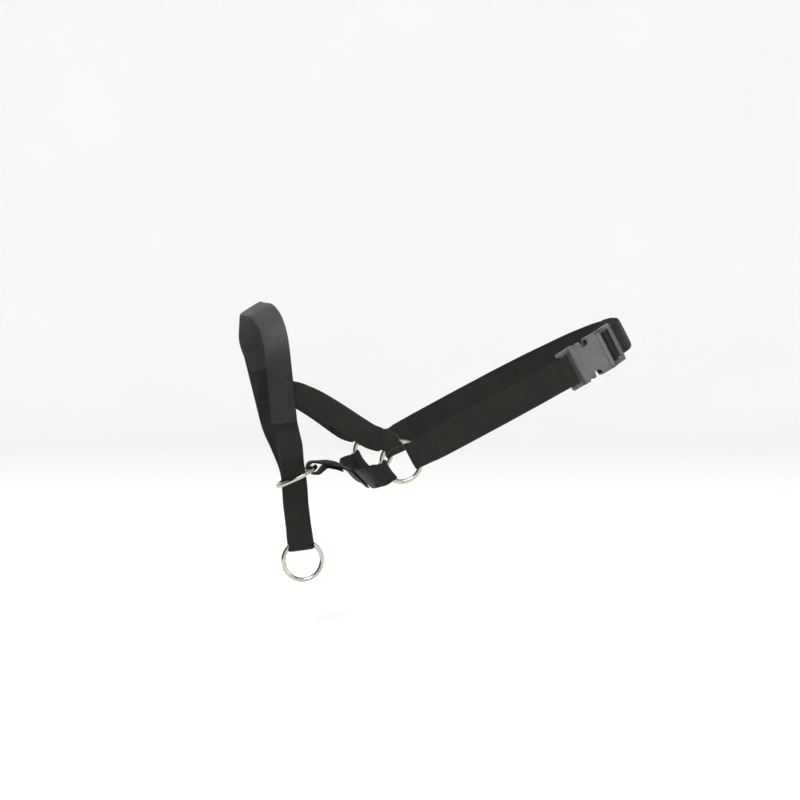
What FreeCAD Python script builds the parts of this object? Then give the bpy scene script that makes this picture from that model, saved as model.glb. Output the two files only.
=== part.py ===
import FreeCAD
import Part
import Sketcher
import math
import os

# Head halter for a large dog, in millimetres.
# +X points from the nose to the nape, +Y to the dog's right, +Z up.
# The origin is the centre of the neck opening, on the dog's plane of symmetry.

DOC = FreeCAD.newDocument("head_halter")
Vector = FreeCAD.Vector

# ---------------------------------------------------------------- driving dimensions

DIMENSIONS = [
    ("neck_width", 20.0),        # neck webbing, across
    ("face_width", 16.0),        # every other webbing, across
    ("gathered_width", 12.0),    # face webbing where it bunches round a side ring
    ("webbing_thick", 1.5),      # one layer of webbing
    ("band_thick", 1.7),         # nose band webbing, and its soft lining
    ("wire_thick", 3.0),         # wire of all four rings
    ("ring_bore", 23.0),         # side rings and lead ring, inside
    ("jaw_ring_bore", 25.0),     # sliding ring under the jaw, inside
    ("running_gap", 0.3),        # room between a ring's wire and the webbing round it
    ("collar_tilt", 27.8),       # neck loop's rise towards the nape, degrees
    ("muzzle_tilt", 5.8),        # nose band's lean towards the nose, degrees
    ("lead_tilt", 6.9),          # hanging strap's lean, degrees
    ("jaw_ring_tilt", 27.0),     # sliding ring's rise towards the throat, degrees
    ("ring_half_span", 62.0),    # side ring's distance from the plane of symmetry
    ("socket_turn", 18.0),       # buckle's heading within the collar plane, degrees
    ("ladder_bend", 20.0),       # ladder lock's bend relative to the buckle, degrees
    ("buckle_width", 27.0),      # buckle across the webbing
    ("buckle_thick", 8.0),       # buckle body through the webbing
    ("buckle_plate", 3.5),       # loop end and ladder frame, through
    ("cavity_high", 4.8),        # space inside the socket, through
    ("cavity_wide", 22.4),       # space inside the socket, across
    ("tongue_high", 3.6),        # guide tongue, through
    ("prong_high", 4.0),         # spring prongs, through
    ("slot_wide", 20.8),         # webbing slots, across
    ("stitch_long", 2.2),        # one visible stitch
    ("thread_thick", 0.55),      # sewing thread
    ("stitch_deep", 3.6),        # thread through two layers, proud of both
]

SHEET = DOC.addObject("Spreadsheet::Sheet", "dimensions")
for row, (alias, value) in enumerate(DIMENSIONS, start=1):
    SHEET.set(f"A{row}", str(value))
    SHEET.setAlias(f"A{row}", alias)
DOC.recompute()


def size(alias):
    return float(SHEET.get(alias))


def bind(thing, prop, formula):
    """Ties a property to the sheet; every word in the formula is an alias."""
    thing.setExpression(prop, formula)


NECK = size("neck_width")
FACE = size("face_width")
GATHERED = size("gathered_width")
WEB = size("webbing_thick")
BAND = size("band_thick")
WIRE = size("wire_thick")
GAP = size("running_gap")
RING_MEAN = (size("ring_bore") + WIRE) / 2
JAW_MEAN = (size("jaw_ring_bore") + WIRE) / 2
SPAN = size("ring_half_span")

SEAM_GAP = 0.15                          # air between two sewn layers
GATHER = 5                               # stations over which a run regains its width
LAYER = WEB + SEAM_GAP                   # from one layer's middle to the next one's
FOLD = WIRE / 2 + GAP + WEB / 2          # middle radius of webbing round a straight wire

SUBPARTS = []


def subpart(thing, label):
    thing.Label = label
    SUBPARTS.append(thing)
    return thing


# ---------------------------------------------------------------- frames

def turn(degrees):
    angle = math.radians(degrees)
    return math.cos(angle), math.sin(angle)


def frame(origin, x_axis, y_axis):
    """Placement that puts local X and Y along the two given directions."""
    x = Vector(*x_axis).normalize()
    y = Vector(*y_axis)
    z = x.cross(y).normalize()
    y = z.cross(x)
    rows = (x.x, y.x, z.x, 0, x.y, y.y, z.y, 0, x.z, y.z, z.z, 0, 0, 0, 0, 1)
    place = FreeCAD.Placement(FreeCAD.Matrix(*rows))
    place.Base = Vector(*origin)
    return place


COLLAR_C, COLLAR_S = turn(size("collar_tilt"))
MUZZLE_C, MUZZLE_S = turn(size("muzzle_tilt"))
LEAD_C, LEAD_S = turn(size("lead_tilt"))
JAW_C, JAW_S = turn(size("jaw_ring_tilt"))

# collar plane: local X runs up towards the nape, local Y to the dog's right
COLLAR_FRAME = frame((0, 0, 0), (COLLAR_C, 0, COLLAR_S), (0, 1, 0))

# muzzle plane: local X to the dog's right, local Y up along the nose band
BAND_FOOT = (-130.8, 0, -5.4)
MUZZLE_FRAME = frame(BAND_FOOT, (0, 1, 0), (-MUZZLE_S, 0, MUZZLE_C))

# lead strap: the same, from the line where the strap starts to swing
LEAD_HINGE = (-118.9, 0, -62.2)
LEAD_FRAME = frame(LEAD_HINGE, (0, 1, 0), (-LEAD_S, 0, LEAD_C))

# chin connector: local X and Y are the row's X and Z
CHIN_FRAME = frame((0, 0, 0), (1, 0, 0), (0, 0, 1))

# buckle: local X from the socket's loop to the plug, local Y towards the neck
BUCKLE_FOOT = (58.0, -61.2)
BUCKLE_C, BUCKLE_S = turn(size("socket_turn"))
BUCKLE_FRAME = COLLAR_FRAME.multiply(
    frame((*BUCKLE_FOOT, 0), (BUCKLE_C, BUCKLE_S, 0), (-BUCKLE_S, BUCKLE_C, 0))
)

# side rings, in the collar plane's foot
RING_X = -57.2
RING_Z = -30.0
JAW_CENTRE = Vector(-118.3, 0, -42.7)


# ---------------------------------------------------------------- paths of flat straps

def rounded(points):
    """Runs joined by tangent arcs, as a list of pieces of (point, direction) pairs.

    Each point is (a, b) or (a, b, radius). Without a radius a corner takes the
    largest arc that leaves a tenth of the shorter run straight."""
    spots = [Vector(p[0], p[1], 0) for p in points]
    pieces = []
    here = spots[0]
    for k in range(1, len(spots) - 1):
        ahead = spots[k + 1] - spots[k]
        behind = spots[k] - spots[k - 1]
        shorter = min(ahead.Length, behind.Length)
        u = Vector(behind).normalize()
        v = Vector(ahead).normalize()
        half = u.getAngle(v) / 2
        radius = 0.45 * shorter / math.tan(half)
        if len(points[k]) > 2:
            radius = points[k][2]
        reach = radius * math.tan(half)
        start = spots[k] - u * reach
        stop = spots[k] + v * reach
        middle_way = (u + v).normalize()
        inward = (v - u).normalize()
        centre = spots[k] + inward * (radius / math.cos(half))
        middle = centre - inward * radius
        if (start - here).Length > 1e-6:
            pieces.append([(here, u), (start, u)])
        pieces.append([(start, u), (middle, middle_way), (stop, v)])
        here = stop
    last = Vector(spots[-1] - here).normalize()
    pieces.append([(here, last), (spots[-1], last)])
    return pieces


def beside(piece, distance):
    """A piece's points moved to the left of its direction."""
    return [p + Vector(-d.y, d.x, 0) * distance for p, d in piece]


def edge_geometry(points):
    if len(points) == 2:
        return Part.LineSegment(points[0], points[1])
    return Part.Arc(points[0], points[1], points[2])


def outline(sketch, path, thick, shift=0.0):
    """Draws the closed outline of a strip of the given thickness along a path."""
    left = [beside(piece, shift + thick / 2) for piece in path]
    right = [beside(piece, shift - thick / 2) for piece in path]
    back = [list(reversed(points)) for points in reversed(right)]
    loop = left + [[left[-1][-1], back[0][0]]] + back + [[back[-1][-1], left[0][0]]]
    for points in loop:
        sketch.addGeometry(edge_geometry(points), False)


def new_body(label, place):
    body = DOC.addObject("PartDesign::Body", label)
    body.Placement = place
    return subpart(body, label)


def new_sketch(body, plane="XY_Plane"):
    sketch = body.newObject("Sketcher::SketchObject", body.Label + "_sketch")
    origin = [f for f in body.Origin.OriginFeatures if f.Role == plane][0]
    sketch.AttachmentSupport = [(origin, "")]
    sketch.MapMode = "FlatFace"
    return sketch


def padded(body, sketch, formula):
    pad = body.newObject("PartDesign::Pad", body.Label + "_pad")
    pad.Profile = sketch
    pad.SideType = "Symmetric"
    bind(pad, "Length", formula)
    DOC.recompute()
    return pad


def pocketed(body, sketch, formula):
    before = body.Shape.Volume
    pocket = body.newObject("PartDesign::Pocket", body.Label + "_pocket")
    pocket.Profile = sketch
    pocket.SideType = "Symmetric"
    bind(pocket, "Length", formula)
    DOC.recompute()
    if body.Shape.Volume > before - 1.0:
        raise RuntimeError(f"a pocket of {body.Label} cuts nothing")
    return pocket


def flat_strap(label, place, points, width_alias, thick=WEB, shift=0.0):
    """Webbing that bends in one plane: a strip's outline, padded by its width."""
    body = new_body(label, place)
    sketch = new_sketch(body)
    outline(sketch, rounded(points), thick, shift)
    padded(body, sketch, f"<<dimensions>>.{width_alias}")
    return body


# ---------------------------------------------------------------- paths of draped straps

def flowing(spots, steps):
    """Catmull-Rom curve through the spots, as (point, direction) pairs."""
    ends = [spots[0] * 2 - spots[1]] + spots + [spots[-1] * 2 - spots[-2]]
    found = []
    for k in range(1, len(ends) - 2):
        a, b, c, d = ends[k - 1:k + 3]
        for n in range(steps):
            t = n / steps
            found.append((
                (b * 2 + (c - a) * t + (a * 2 - b * 5 + c * 4 - d) * t**2
                 + (b * 3 - a - c * 3 + d) * t**3) * 0.5,
                ((c - a) + (a * 2 - b * 5 + c * 4 - d) * (2 * t)
                 + (b * 3 - a - c * 3 + d) * (3 * t**2)).normalize(),
            ))
    found.append((spots[-1], Vector(ends[-1] - ends[-3]).normalize()))
    return found


def square_to(direction, wish):
    """The unit vector nearest to wish that is square to direction."""
    return (wish - direction * wish.dot(direction)).normalize()


def draped(stations, thick=WEB):
    """Solid webbing through stations of (point, direction, face normal, width)."""
    wires = []
    for point, along, normal, width in stations:
        across = along.cross(normal).normalize() * (width / 2)
        through = normal * (thick / 2)
        wires.append(Part.makePolygon([
            point + across + through,
            point - across + through,
            point - across - through,
            point + across - through,
            point + across + through,
        ]))
    return Part.makeLoft(wires, True, True)


def ring_fold(side, heading):
    """Stations of gathered webbing round a side ring, from the neck's side outwards.

    heading is the strap's direction seen from the ring's centre, in degrees from +X."""
    c, s = turn(heading)
    away = Vector(c, 0, s)
    outward = Vector(0, side, 0)
    reach = math.sqrt(RING_MEAN**2 - (GATHERED / 2)**2) - 0.5
    centre = Vector(RING_X, side * SPAN, RING_Z) + away * reach
    stations = []
    for step in range(7):
        c, s = turn(-90 + 30 * step)
        normal = outward * s - away * c
        along = (outward * c + away * s)
        stations.append((centre + normal * FOLD, along, normal, GATHERED))
    return stations


def ring_point(side, heading, reach, stand_off):
    """A point beside a side ring: so far along the heading, so far off its plane."""
    c, s = turn(heading)
    return Vector(RING_X + c * reach, side * (SPAN + stand_off), RING_Z + s * reach)


def with_faces(path, wish, widths):
    """Adds a face normal and a width to each station of a path."""
    last = len(path) - 1
    return [
        (p, d, square_to(d, wish), widths[0] + (widths[1] - widths[0]) * k / last)
        for k, (p, d) in enumerate(path)
    ]


def regained(station):
    """Width of a run so many stations from the ring where it is gathered."""
    return min(FACE, GATHERED + (FACE - GATHERED) * station / GATHER)


def from_ring(side, heading, tab_spots, main_spots, wish):
    """Webbing whose sewn tab lies inside, passes round a side ring and runs on."""
    tab = tab_spots + [
        ring_point(side, heading, 17.0, -FOLD + 0.5),
        ring_point(side, heading, 13.5, -FOLD),
    ]
    tab_path = with_faces(flowing(tab, 3), -wish, (FACE, GATHERED))
    run = [ring_point(side, heading, 13.5, FOLD)] + main_spots
    run_path = [
        (point, along, square_to(along, wish), regained(k))
        for k, (point, along) in enumerate(flowing(run, 3))
    ]
    return tab_path + ring_fold(side, heading) + run_path


def draped_subpart(label, shape):
    feature = DOC.addObject("Part::Feature", label)
    feature.Shape = shape
    return subpart(feature, label)


# ---------------------------------------------------------------- rings

def ring(label, bore_alias, centre, axis):
    torus = DOC.addObject("Part::Torus", label)
    bind(torus, "Radius1", f"(<<dimensions>>.{bore_alias} + <<dimensions>>.wire_thick) / 2")
    bind(torus, "Radius2", "<<dimensions>>.wire_thick / 2")
    torus.Placement = FreeCAD.Placement(centre, FreeCAD.Rotation(Vector(0, 0, 1), axis))
    return subpart(torus, label)


SIDES = {"left": -1, "right": 1}

for name, side in SIDES.items():
    ring(f"side_ring_{name}", "ring_bore", Vector(RING_X, side * SPAN, RING_Z),
         Vector(0, 1, 0))
ring("jaw_ring", "jaw_ring_bore", JAW_CENTRE, Vector(-JAW_S, 0, JAW_C))

# ---------------------------------------------------------------- nose band

ARCH = 32.0
BAND_LINE = [
    (38.85, 52.0, ARCH), (30.0, 70.0, ARCH), (10.0, 79.3, ARCH),
    (-10.0, 79.3, ARCH), (-30.0, 70.0, ARCH), (-38.85, 52.0, ARCH),
]
BAND_END = 38.85
LINING_FOOT = 34.0                 # above here the band is lined, below lie the sewn ends
LINING_SHIFT = BAND + 0.05

flat_strap("nose_band", MUZZLE_FRAME,
           [(BAND_END, 0.0)] + BAND_LINE + [(-BAND_END, 0.0)],
           "face_width", BAND)
flat_strap("nose_band_lining", MUZZLE_FRAME,
           [(BAND_END, LINING_FOOT)] + BAND_LINE + [(-BAND_END, LINING_FOOT)],
           "face_width", BAND, LINING_SHIFT)

# ---------------------------------------------------------------- cheek straps

CHEEK_HEADING = 134.0
CHEEK_IN_BAND = 37.2               # middle of the layer that lies inside the band


def cheek_strap(name, side):
    line = [
        (-76.5, 59.2, -13.9), (-83.5, 54.6, -9.6), (-95.9, 48.0, -1.0),
        (-104.4, 44.2, 4.5), (-112.3, 40.6, 9.1), (-121.0, 37.4, 12.9),
        (-124.0, 37.15, 13.7), (-130.5, CHEEK_IN_BAND, 15.0), (-138.3, CHEEK_IN_BAND, 16.4),
    ]
    spots = [Vector(x, side * y, z) for x, y, z in line]
    main = [ring_point(side, CHEEK_HEADING, 18.0, FOLD - 1.3)] + spots
    tab = [spots[1] - Vector(0, side * LAYER * 1.15, 0),
           spots[0] - Vector(0, side * LAYER * 1.25, 0)]
    shape = draped(from_ring(side, CHEEK_HEADING, tab, main, Vector(0, side, 0)))
    return draped_subpart(f"cheek_strap_{name}", shape)


for name, side in SIDES.items():
    cheek_strap(name, side)

# ---------------------------------------------------------------- control strap, upper legs

LEG_LINE = [
    (-131.8, 37.2, 3.4), (-131.4, 37.1, -0.5), (-130.8, 36.5, -5.4), (-128.6, 32.5, -13.2),
    (-125.6, 23.6, -21.5), (-122.9, 12.4, -31.6), (-120.8, 4.9, -41.0),
    (-119.9, 2.0, -48.5), (-119.4, 1.0, -55.0), (-119.12, 0.9, -60.4),
]


def control_leg(name, side):
    spots = [Vector(x, side * y, z) for x, y, z in LEG_LINE]
    path = with_faces(flowing(spots, 3), Vector(0, side, 0), (FACE, FACE))
    return draped_subpart(f"control_strap_{name}", draped(path))


for name, side in SIDES.items():
    control_leg(name, side)

# ---------------------------------------------------------------- lead strap and lead ring

def eye_round(mean):
    """Reach from a ring's centre to the eye of face webbing folded round it, and the
    eye's middle radius. The wire is curved and crosses the webbing's edges at a slant,
    so the eye is rounder than the wire and lets the ring swing."""
    chord = math.sqrt(mean**2 - (FACE / 2)**2)
    near = chord - WIRE / 2 * mean / chord
    far = mean + WIRE / 2
    return (near + far) / 2, (far - near) / 2 + GAP + WEB / 2


LEAD_REACH, EYE = eye_round(RING_MEAN)
EYE_DROP = -26.0
HALF_LAYERS = 0.85

flat_strap("lead_strap", LEAD_FRAME, [
    (-HALF_LAYERS, -0.3), (-HALF_LAYERS, -15.0, 6.0), (-EYE, EYE_DROP + 3.0, 6.0),
    (-EYE, EYE_DROP - EYE, EYE), (EYE, EYE_DROP - EYE, EYE),
    (EYE, EYE_DROP + 3.0, 6.0), (HALF_LAYERS, -15.0, 6.0), (HALF_LAYERS, -0.3),
], "face_width")

ring("lead_ring", "ring_bore", LEAD_FRAME.multVec(Vector(0, EYE_DROP - LEAD_REACH, 0)),
     Vector(0, 1, 0))

# ---------------------------------------------------------------- throat strap

THROAT_HEADING = 210.0
THROAT_FRONT = (-74.9, -43.75)
THROAT_ACROSS = (0.725, -0.689)     # across the webbing at the front, in X and Z


def throat_strap():
    half = [(-75.7, 58.6, -40.5), (-77.4, 48.0, -42.0), (-77.0, 31.0, -43.2),
            (-75.4, 14.0, -43.7)]
    there = [Vector(x, -y, z) for x, y, z in half]
    back = [Vector(x, y, z) for x, y, z in reversed(half)]
    start = [ring_point(-1, THROAT_HEADING, 13.5, FOLD),
             ring_point(-1, THROAT_HEADING, 17.0, FOLD - 1.1)]
    stop = [ring_point(1, THROAT_HEADING, 17.0, FOLD - 1.1),
            ring_point(1, THROAT_HEADING, 13.5, FOLD)]
    front = [Vector(THROAT_FRONT[0], 0, THROAT_FRONT[1])]
    path = flowing(start + there + front + back + stop, 3)
    last = len(path) - 1
    c, s = turn(THROAT_HEADING - 90)
    at_ring = Vector(-c, 0, -s)
    at_front = Vector(THROAT_ACROSS[0], 0, THROAT_ACROSS[1])
    run = []
    for k, (point, along) in enumerate(path):
        near_front = 1 - abs(2 * k / last - 1)
        across = at_ring * (1 - near_front) + at_front * near_front
        across = square_to(along, across)
        width = regained(min(k, last - k))
        run.append((point, along, across.cross(along).normalize(), width))
    tab_spots = [
        Vector(half[1][0] + 1.3, half[1][1] - 0.6, half[1][2] + 0.6),
        Vector(half[0][0] + 0.9, half[0][1] - 1.5, half[0][2] + 0.5),
    ]

    def tab(side):
        spots = [Vector(v.x, side * v.y, v.z) for v in tab_spots]
        spots += [ring_point(side, THROAT_HEADING, 17.0, -FOLD + 0.4),
                  ring_point(side, THROAT_HEADING, 13.5, -FOLD)]
        stations = with_faces(flowing(spots, 3), Vector(0, -side, 0), (FACE, GATHERED))
        return stations + ring_fold(side, THROAT_HEADING)

    def other_way(stations):
        return [(p, d * -1, n, w) for p, d, n, w in reversed(stations)]

    return draped_subpart("throat_strap", draped(tab(-1) + run + other_way(tab(1))))


throat_strap()

# the connector's sewn end lies flat on the front of the throat strap
flat_strap("connector_tab", CHIN_FRAME,
           [(-84.5, -38.75), (-82.1, -39.5, 1.2), (-70.4, -50.6)], "face_width")

# ---------------------------------------------------------------- chin connector

JAW_REACH, JAW_EYE = eye_round(JAW_MEAN)
EYE_X = JAW_CENTRE.x + JAW_REACH * JAW_C
EYE_Z = JAW_CENTRE.z + JAW_REACH * JAW_S

flat_strap("chin_connector", CHIN_FRAME, [
    (-88.0, -38.65), (-92.0, -36.85, 6.0), (-98.5, -36.1, 3.0),
    (-104.0, EYE_Z - JAW_EYE, 2.5),
    (EYE_X - JAW_EYE, EYE_Z - JAW_EYE, JAW_EYE),
    (EYE_X - JAW_EYE, EYE_Z + JAW_EYE, 0.9 * JAW_EYE),
    (-98.0, -33.7, 10.0), (-91.0, -35.1, 8.0), (-85.2, -38.1),
], "face_width")

# ---------------------------------------------------------------- neck strap

FOLD_SLACK = 1.3
NECK_EYE = math.sqrt(RING_MEAN**2 - (NECK / 2)**2) - FOLD_SLACK
RING_P = RING_X * COLLAR_C + RING_Z * COLLAR_S
APEX = RING_P + NECK_EYE - FOLD
INNER = SPAN - FOLD
OUTER = SPAN + FOLD


def at_buckle(x, y):
    """Collar-plane point from the buckle's own x and y."""
    return (BUCKLE_FOOT[0] + x * BUCKLE_C - y * BUCKLE_S,
            BUCKLE_FOOT[1] + x * BUCKLE_S + y * BUCKLE_C)


# beyond the fold the outer layer bows out to this point on each side
BOW = (-20.0, 66.8)
TAB_END = RING_P + 33.0
TAB_START = RING_P + 22.0


def outer_layer(p):
    """How far out the strap's outer layer lies between the fold and the bow."""
    return OUTER + (BOW[1] - OUTER) * (p - APEX) / (BOW[0] - APEX)


def ring_end(side):
    """The strap's sewn end and fold at a side ring, from the tab's tip to the outside."""
    return [
        (TAB_END, side * (outer_layer(TAB_END) - LAYER)),
        (TAB_START, side * (outer_layer(TAB_START) - LAYER), 9.0),
        (RING_P + 16.2, side * INNER, 4.0),
        (APEX, side * INNER, FOLD), (APEX, side * OUTER, FOLD),
    ]


BAR_HALF = size("buckle_plate") / 2
BAR_FOLD = BAR_HALF + GAP + WEB / 2
BAR_X = 1.5
HALF_SEW = LAYER / 2 + 0.02

flat_strap("neck_strap_left", COLLAR_FRAME, ring_end(-1) + [
    (BOW[0], -BOW[1]), (25.0, -67.6), (*at_buckle(-10.0, -HALF_SEW), 30.0),
    (*at_buckle(-3.0, -BAR_FOLD), 6.0),
    (*at_buckle(BAR_X + BAR_FOLD, -BAR_FOLD), BAR_FOLD),
    (*at_buckle(BAR_X + BAR_FOLD, BAR_FOLD), BAR_FOLD),
    (*at_buckle(-3.0, BAR_FOLD), 6.0), (*at_buckle(-10.0, HALF_SEW), 12.0),
    (33.2, -65.0),
], "neck_width")

# ladder lock's own x and y, within the collar plane
LADDER_X = 35.0
LADDER_C, LADDER_S = turn(size("ladder_bend"))


def at_ladder(x, y):
    """Buckle-plane point from the ladder lock's own x and y."""
    return (LADDER_X + x * LADDER_C - y * LADDER_S, x * LADDER_S + y * LADDER_C)


def ladder_in_collar(x, y):
    return at_buckle(*at_ladder(x, y))


SLOT_B = (0.0, 3.6)                # next to the plug
MID_BAR = (3.6, 7.0)
SLOT_A = (7.0, 10.6)
END_BAR = (10.6, 14.2)
OVER_BAR = -2.1                    # webbing over the middle bar
LOAD = 3.1                         # loaded webbing, nearest the neck
TAIL = LOAD - LAYER - 0.2          # free end, between it and the end bar
SLOT_B_MID = 1.8
SLOT_A_MID = 8.8
TIGHT = 1.1

NAPE_LINE = [(108.5, -33.0), (114.3, -17.0), (114.6, 6.0), (107.5, 29.0), (90.0, 48.0),
             (60.0, 61.5), (22.0, 67.6), BOW]
SPLIT_NEAR = ladder_in_collar(17.6, LOAD)
NAPE_SPLIT = (114.45, -5.5)


def bent_line(points):
    """The free end's route: the neck line moved outwards by one layer and a gap."""
    clear = LAYER + 0.25
    return [(x + clear * c, y + clear * s) for x, y, (c, s) in points]


flat_strap("adjuster_webbing", COLLAR_FRAME, [
    ladder_in_collar(14.4, TAIL), (*ladder_in_collar(SLOT_A_MID, TAIL), TIGHT),
    (*ladder_in_collar(SLOT_A_MID, OVER_BAR), TIGHT),
    (*ladder_in_collar(SLOT_B_MID, OVER_BAR), TIGHT),
    (*ladder_in_collar(SLOT_B_MID, LOAD), TIGHT),
    SPLIT_NEAR,
], "neck_width")

flat_strap("strap_tail", COLLAR_FRAME, [
    ladder_in_collar(14.6, TAIL),
    *bent_line([(108.5, -33.0, turn(-36)), (114.3, -17.0, turn(-10)),
                (114.6, 6.0, turn(9)), (111.0, 17.8, turn(17))]),
], "neck_width")

flat_strap("nape_webbing", COLLAR_FRAME,
           [SPLIT_NEAR, *NAPE_LINE[:2], NAPE_SPLIT], "neck_width")
flat_strap("neck_strap_right", COLLAR_FRAME,
           [NAPE_SPLIT, *NAPE_LINE[2:], *reversed(ring_end(1))], "neck_width")

# ---------------------------------------------------------------- buckle

MOUTH = 31.7
SLOT_END = 9.0
RIDGE_END = 13.0
CAVITY_START = 12.5
WINDOW = (13.5, 24.3)
WINDOW_IN = 10.2
SOCKET_HALF = size("buckle_width") / 2


def box_sketch(body, plane, boxes):
    sketch = new_sketch(body, plane)
    for x0, x1, y0, y1 in boxes:
        corners = [Vector(x0, y0, 0), Vector(x1, y0, 0), Vector(x1, y1, 0), Vector(x0, y1, 0)]
        polygon(sketch, corners)
    return sketch


def polygon(sketch, corners):
    first = sketch.GeometryCount
    count = len(corners)
    for k in range(count):
        sketch.addGeometry(Part.LineSegment(corners[k], corners[(k + 1) % count]), False)
    for k in range(count):
        sketch.addConstraint(
            Sketcher.Constraint("Coincident", first + k, 2, first + (k + 1) % count, 1)
        )


TOP = "XZ_Plane"                   # seen square to the webbing: x along, y across
SIDE = "XY_Plane"                  # seen along the webbing's width


def fillet_edges(body, radius, wanted):
    """Rounds the edges that a test picks, named from the body's current tip."""
    tip = body.Tip
    names = [f"Edge{k + 1}" for k, edge in enumerate(tip.Shape.Edges) if wanted(edge)]
    fillet = body.newObject("PartDesign::Fillet", body.Label + "_fillet")
    fillet.Base = (tip, names)
    fillet.Radius = radius
    DOC.recompute()
    return fillet


def buckle_socket():
    body = new_body("buckle_socket", BUCKLE_FRAME)
    half = SOCKET_HALF
    padded(body, box_sketch(body, TOP, [(0, RIDGE_END, -half, half)]),
           "<<dimensions>>.buckle_plate")
    padded(body, box_sketch(body, TOP, [(SLOT_END, RIDGE_END, -half, half)]),
           "<<dimensions>>.buckle_thick + 0.8")
    padded(body, box_sketch(body, TOP, [(RIDGE_END - 0.5, MOUTH, -half, half)]),
           "<<dimensions>>.buckle_thick")
    slot = size("slot_wide") / 2
    pocketed(body, box_sketch(body, TOP, [(3.0, SLOT_END, -slot, slot)]),
             "<<dimensions>>.buckle_thick * 2")
    cavity = size("cavity_wide") / 2
    pocketed(body, box_sketch(body, TOP, [(CAVITY_START, MOUTH + 1, -cavity, cavity)]),
             "<<dimensions>>.cavity_high")
    pocketed(body, box_sketch(body, TOP, [
        (*WINDOW, WINDOW_IN, half + 1), (*WINDOW, -half - 1, -WINDOW_IN),
    ]), "<<dimensions>>.buckle_thick * 2")
    high = size("buckle_thick") / 2

    def long_edge(edge):
        box = edge.BoundBox
        place = abs(abs(box.YMin) - high) + abs(abs(box.YMax) - high)
        across = abs(abs(box.ZMin) - half) + abs(abs(box.ZMax) - half)
        return place < 0.01 and across < 0.01 and box.XLength > 2
    fillet_edges(body, 1.2, long_edge)

    def bar_edge(edge):
        box = edge.BoundBox
        lengthwise = min(abs(box.XMax), abs(box.XMax - 3.0))
        plate = abs(abs(box.YMax) - BAR_HALF) + abs(abs(box.YMin) - BAR_HALF)
        return lengthwise < 0.01 and plate < 0.01 and box.XLength < 0.01 and box.ZLength > 5
    fillet_edges(body, 1.0, bar_edge)
    return body


def buckle_plug():
    body = new_body("buckle_plug", BUCKLE_FRAME)
    half = SOCKET_HALF
    padded(body, box_sketch(body, TOP, [(MOUTH + 0.3, LADDER_X, -half, half)]),
           "<<dimensions>>.buckle_thick")
    padded(body, box_sketch(body, TOP, [(20.5, LADDER_X - 1.5, -2.6, 2.6)]),
           "<<dimensions>>.tongue_high")
    plate = BAR_HALF

    def ladder_sketch(shapes):
        sketch = new_sketch(body, SIDE)
        for corners in shapes:
            polygon(sketch, [Vector(*at_ladder(x, y), 0) for x, y in corners])
        return sketch

    def rect(x0, x1, y0, y1):
        return [(x0, y0), (x1, y0), (x1, y1), (x0, y1)]
    padded(body, ladder_sketch([rect(-1.0, END_BAR[1], -plate, plate)]),
           "<<dimensions>>.buckle_width")
    clear = 4.0
    pocketed(body, ladder_sketch([
        rect(*SLOT_B, -clear, clear), rect(*SLOT_A, -clear, clear),
    ]), "<<dimensions>>.slot_wide")
    pocketed(body, ladder_sketch([
        rect(MID_BAR[0] - 0.5, MID_BAR[1] + 0.5, 1.2, clear),
        rect(MID_BAR[0] - 0.5, MID_BAR[1] + 0.5, -clear, -1.2),
        rect(END_BAR[0] - 0.5, END_BAR[1] + 1, TAIL - WEB / 2 - 0.1, clear),
    ]), "<<dimensions>>.slot_wide")
    high = size("buckle_thick") / 2

    def long_edge(edge):
        box = edge.BoundBox
        place = abs(abs(box.YMin) - high) + abs(abs(box.YMax) - high)
        across = abs(abs(box.ZMin) - half) + abs(abs(box.ZMax) - half)
        return place < 0.01 and across < 0.01 and box.XLength > 2
    fillet_edges(body, 1.2, long_edge)
    return body


PRONG = [
    (31.35, 7.2), (31.35, 10.2), (23.8, 10.2), (23.8, 12.9), (22.6, 13.7), (18.0, 13.5),
    (14.3, 10.6), (13.9, 8.8), (15.6, 7.6), (24.0, 7.2),
]


def prong(name, side):
    body = new_body(f"buckle_prong_{name}", BUCKLE_FRAME)
    sketch = new_sketch(body, TOP)
    polygon(sketch, [Vector(x, side * z, 0) for x, z in PRONG])
    padded(body, sketch, "<<dimensions>>.prong_high")
    return body


buckle_socket()
buckle_plug()
prong("upper", 1)
prong("lower", -1)

# ---------------------------------------------------------------- stitching

def stitch_node(label, seats):
    """One node of separate threads. A seat is (middle, thread direction, face normal)."""
    threads = []
    for number, (middle, along, normal) in enumerate(seats):
        thread = DOC.addObject("Part::Box", f"{label}_thread_{number}")
        bind(thread, "Length", "<<dimensions>>.stitch_long")
        bind(thread, "Width", "<<dimensions>>.thread_thick")
        bind(thread, "Height", "<<dimensions>>.stitch_deep")
        side = normal.cross(along)
        corner = (middle - along * (size("stitch_long") / 2)
                  - side * (size("thread_thick") / 2) - normal * (size("stitch_deep") / 2))
        place = frame((0, 0, 0), tuple(along), tuple(side))
        place.Base = corner
        thread.Placement = place
        threads.append(thread)
    group = DOC.addObject("Part::Compound", label)
    group.Links = threads
    return subpart(group, label)


STITCH_PITCH = 3.1


def row(middle, along, normal, count):
    """A line of stitches, evenly spaced about its middle."""
    first = -(count - 1) / 2
    return [(middle + along * ((first + k) * STITCH_PITCH), along, normal)
            for k in range(count)]


def collar_row(p, q, heading, count):
    """A line of stitches across neck webbing, at a collar-plane point."""
    c, s = turn(heading)
    middle = COLLAR_FRAME.multVec(Vector(p, q, 0))
    across = COLLAR_FRAME.Rotation.multVec(Vector(0, 0, 1))
    normal = COLLAR_FRAME.Rotation.multVec(Vector(-s, c, 0))
    return row(middle, across, normal, count)


for name, side in SIDES.items():
    seats = []
    for p in (TAB_START + 2.0, TAB_END - 2.0):
        seats += collar_row(p, side * (outer_layer(p) - LAYER / 2), side * 2.9, 6)
    stitch_node(f"stitching_neck_{name}_ring", seats)

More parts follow.
